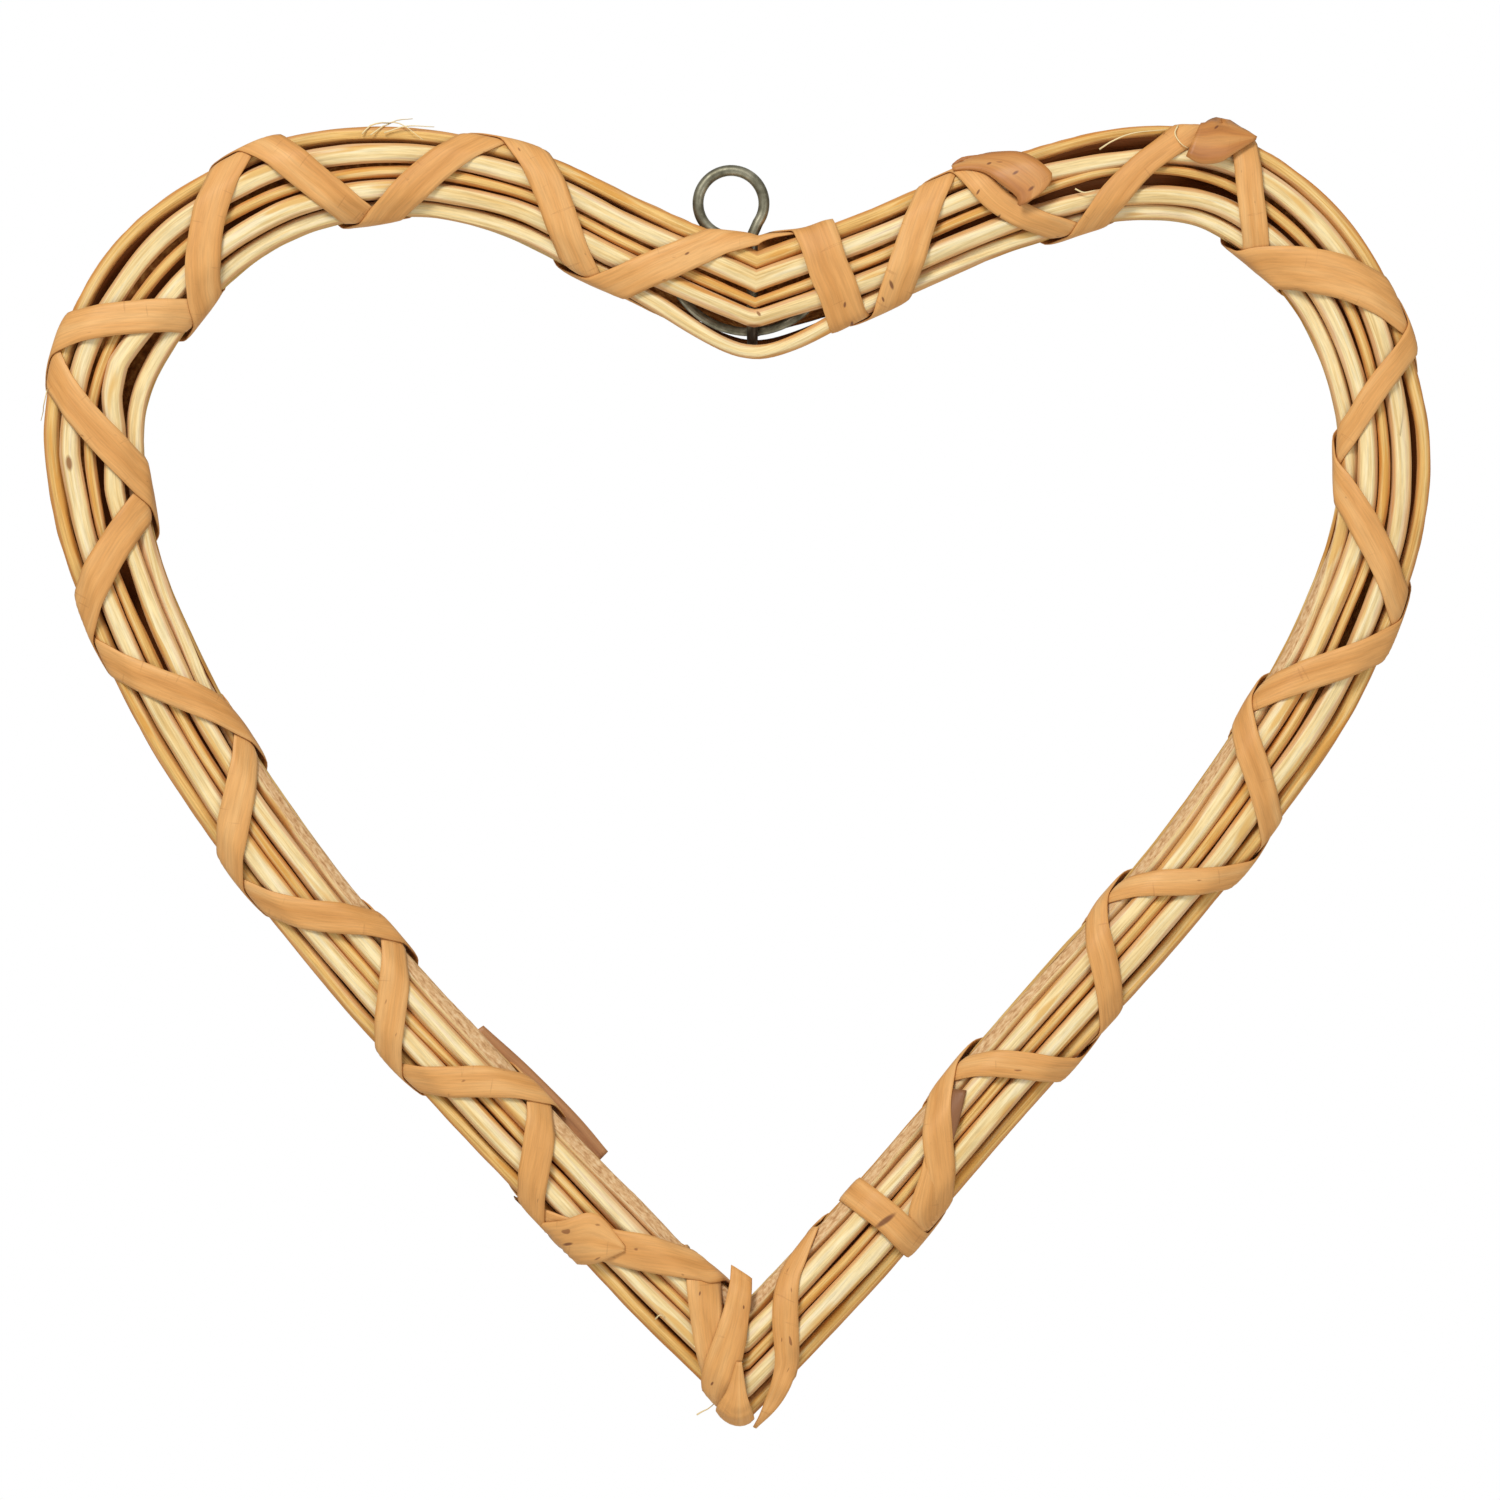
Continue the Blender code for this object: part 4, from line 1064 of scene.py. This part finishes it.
stripA = makeWrap("wrapStripA", strips["a"], -1, True, 1.0, strips["aStart"], lastKnot=-3)
dress(stripA, "wrap_strip_a", stripMaterial("shavedWillow_a", stripLook, 1.0))
stripB = makeWrap("wrapStripB", strips["b"], 1, False, 2.0, firstKnot=2)
dress(stripB, "wrap_strip_b", stripMaterial("shavedWillow_b", stripLook, 2.0))
print("wrapping strips made")

# which solid each loose strip stands for
looseNodes = {"tipStrip": "tip_strip", "tipCap": "tip_cap", "foldedFlap1": "folded_flap_1",
              "foldedFlap2": "folded_flap_2", "tuckedTail": "tucked_tail"}
looseLooks = {"foldedFlap1": flapLook, "foldedFlap2": flapLook, "shadedUnderPly": shadedTailLook, "tuckedTail": shadedTailLook}
for count, name in enumerate(loose):
    piece = makeLoose(name, 3.0 + count)
    look = looseLooks.get(name, stripLook)
    material = stripMaterial("shavedWillow_" + name, look, 3.0 + count)
    if name in looseNodes:
        dress(piece, looseNodes[name], material)
    else:
        piece.data.materials.append(material)
        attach(piece, "root")
print("loose strips made")


# fine splinters that stand off the canes: points in mm across and up from the hanging point, and their
# height over the skin
splinters = [
    [(-6.2, -223.8, 0.4), (-5.2, -223.2, 0.4), (-4, -222.6, 0.3), (-2.4, -221.2, 0.1)],
    [(-13.6, -206.2, 0.2), (-12.8, -205.4, 0.9), (-11.9, -205.8, 0.1)],
    [(66.4, 4.6, 0.1), (68.8, 6.1, 1.1), (72.5, 7.5, 1.2), (78.5, 8.2, 0.3)],
    [(62, -2.6, 0.1), (63.6, -3.3, 0.9), (65.6, -2.9, 0.8)],
    [(80.6, 8.9, 0.6), (80, 7.4, 1.4), (81, 5.6, 1.5), (82.4, 4.7, 0.7)],
    [(-66.5, 7.4, 0.2), (-64.5, 9.2, 0.7), (-60, 9.4, 1.2), (-55.5, 6.3, 0.2)],
    [(-65, 7.2, 0.2), (-61, 9.9, 0.5), (-57.5, 10.4, 0.8)],
    [(-62.5, 7.6, 0.2), (-58.5, 8.8, 1.2), (-53.5, 8.7, 1.0)],
    [(-122.8, -36.5, 0.0), (-123.8, -40.5, 0.3), (-124.7, -44.2, 0.5)],
    [(119, -32, 0.0), (120.8, -40, 0.6), (120.5, -47, 0.1)],
]
splinterShape = {"thick": 0.32 * mm, "taper": 0.6, "ring": 6, "steps": 3}


# a closed round bar along a line; radiusAt(station) is its radius
def makeRoundBar(name, line, travel, ring, thick, radiusAt):
    def placeVertex(station, corner):
        along = heading(line, station)
        side = along.cross(Vector((0, 1, 0))).normalized()
        angle = 2 * math.pi * corner / ring
        reach = side * math.cos(angle) + along.cross(side) * math.sin(angle)
        return line[station] + reach * radiusAt(station), 0.0, 0.0

    return makeBar(name, ring, placeVertex, travel, math.pi * thick)


def makeSplinter(name, points):
    flat, length = smoothLine([(x, z) for x, z, rise in points])
    rises = [(step / (len(points) - 1), point[2] * mm) for step, point in enumerate(points)]
    count = splinterShape["steps"] * len(points)
    line = []
    for share in evenly(1, count):
        spot = flat(share)
        line.append(layOn(spot.x, spot.y, tableValue(rises, share)))
        line[-1].x, line[-1].z = spot

    def radiusAt(station):
        return splinterShape["thick"] / 2 * (1 - splinterShape["taper"] * station / count)

    return makeRoundBar(name, line, evenly(length, count), splinterShape["ring"],
                        splinterShape["thick"], radiusAt)


fibreMaterial = willowMaterial("paleFibre", splitLook, 31.0)
for count, points in enumerate(splinters):
    splinter = makeSplinter("splinter%d" % (count + 1), points)
    splinter.data.materials.append(fibreMaterial)
    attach(splinter, "root")
print("splinters made")


# points on an arc of the front view, between two angles in degrees
def arcPoints(x, z, radius, first, last, steps):
    angles = [math.radians(blend(first, last, share)) for share in evenly(1, steps)]
    return [Vector((x + radius * math.cos(angle), z + radius * math.sin(angle))) for angle in angles]


def makeWire(name, points, thick, front):
    line = [Vector((flat.x - hangX, eyePlane - front, flat.y - hangZ)) for flat in points]

    def radiusAt(station):
        return thick / 2 * (wires["cutEnd"] if station in (0, len(line) - 1) else 1)

    return makeRoundBar(name, line, travelAlong(line), wires["ring"], thick, radiusAt)


ringRadius = wires["eyeRadius"] + wires["eyeWire"] / 2
shankTop = wires["eyeHeight"] - ringRadius * wires["shankTop"]
eye = [Vector((wires["shankSide"], blend(-wires["shankDepth"], shankTop, share)))
       for share in evenly(1, wires["shankSteps"])]
eye += arcPoints(wires["eyeSide"], wires["eyeHeight"], ringRadius,
                 wires["eyeFrom"], wires["eyeTo"], wires["eyeSteps"])
bow = arcPoints(wires["bowSide"], wires["bowRadius"] - wires["bowDrop"], wires["bowRadius"],
                wires["bowFrom"], wires["bowTo"], wires["bowSteps"])
for name, node, finish, points, thick, front in (
        ("hangingEye", "wire_eye", "galvanisedWire_eye", eye, wires["eyeWire"], eyePlane),
        ("bowedWire", "wire_bow", "galvanisedWire_bow", bow, wires["bowWire"], bowPlane)):
    dress(makeWire(name, points, thick, front), node, wireMaterial(finish))
print("wires made")

# camera level in front of the heart, long lens, framed as the photograph is
view = {"scale": 0.1806 * mm, "pixels": 1500, "eyeColumn": 731, "eyeRow": 176, "lens": 240, "sensor": 36,
        "clip": 20}
frameWidth = view["scale"] * view["pixels"]
camera = addObject("camera", bpy.data.cameras.new("camera"))
camera.data.lens = view["lens"]
camera.data.sensor_width = view["sensor"]
camera.data.clip_end = view["clip"]
camera.location = ((view["pixels"] / 2 - view["eyeColumn"]) * view["scale"],
                   -frameWidth * view["lens"] / view["sensor"],
                   (view["eyeRow"] - view["pixels"] / 2) * view["scale"])
camera.rotation_euler = (math.radians(90), 0, 0)
bpy.context.scene.camera = camera
bpy.context.scene.view_settings.view_transform = "Standard"

# a pale floor well below the heart
stage = {"floor": -0.6, "width": 5.0, "depth": 3.6, "back": 1.9, "squares": 8}
work = bmesh.new()
bmesh.ops.create_grid(work, x_segments=stage["squares"], y_segments=stage["squares"], size=0.5)
bmesh.ops.scale(work, vec=(stage["width"], stage["depth"], 1), verts=work.verts)
bmesh.ops.translate(work, vec=(0, stage["back"] - stage["depth"] / 2, stage["floor"]), verts=work.verts)
floor = finishPiece(work, "paleFloor")
material, tree, shader = newMaterial("palePaper")
fillSockets(tree, shader, {"Base Color": "#F2F1EE", "Roughness": 0.9})
floor.data.materials.append(material)

# soft lamps: place, size and power; sky is how brightly the white surroundings light the heart
lighting = {
    "aim": (0.0, 0.0, -0.1), "sky": 0.4,
    "lamps": {"keyLight": ((-0.55, -1.3, 1.1), 0.6, 23.0), "fillLight": ((1.1, -1.3, 0.1), 1.0, 4.0)},
}
for name, (place, size, power) in lighting["lamps"].items():
    data = bpy.data.lights.new(name, "AREA")
    data.shape = "SQUARE"
    data.size = size
    data.energy = power
    light = addObject(name, data)
    light.location = place
    light.rotation_euler = (Vector(lighting["aim"]) - Vector(place)).to_track_quat("-Z", "Y").to_euler()
world = bpy.data.worlds.new("paleWorld")
bpy.context.scene.world = world
world.use_nodes = True
sky = world.node_tree
seen = addNode(sky, "LightPath", {}, "Is Camera Ray")
level = addNode(sky, "MapRange", {"Value": seen, "To Min": lighting["sky"], "To Max": 1.0})
fillSockets(sky, sky.nodes["Background"], {"Color": "#FFFFFF", "Strength": level})
print("stage, lights and camera set")
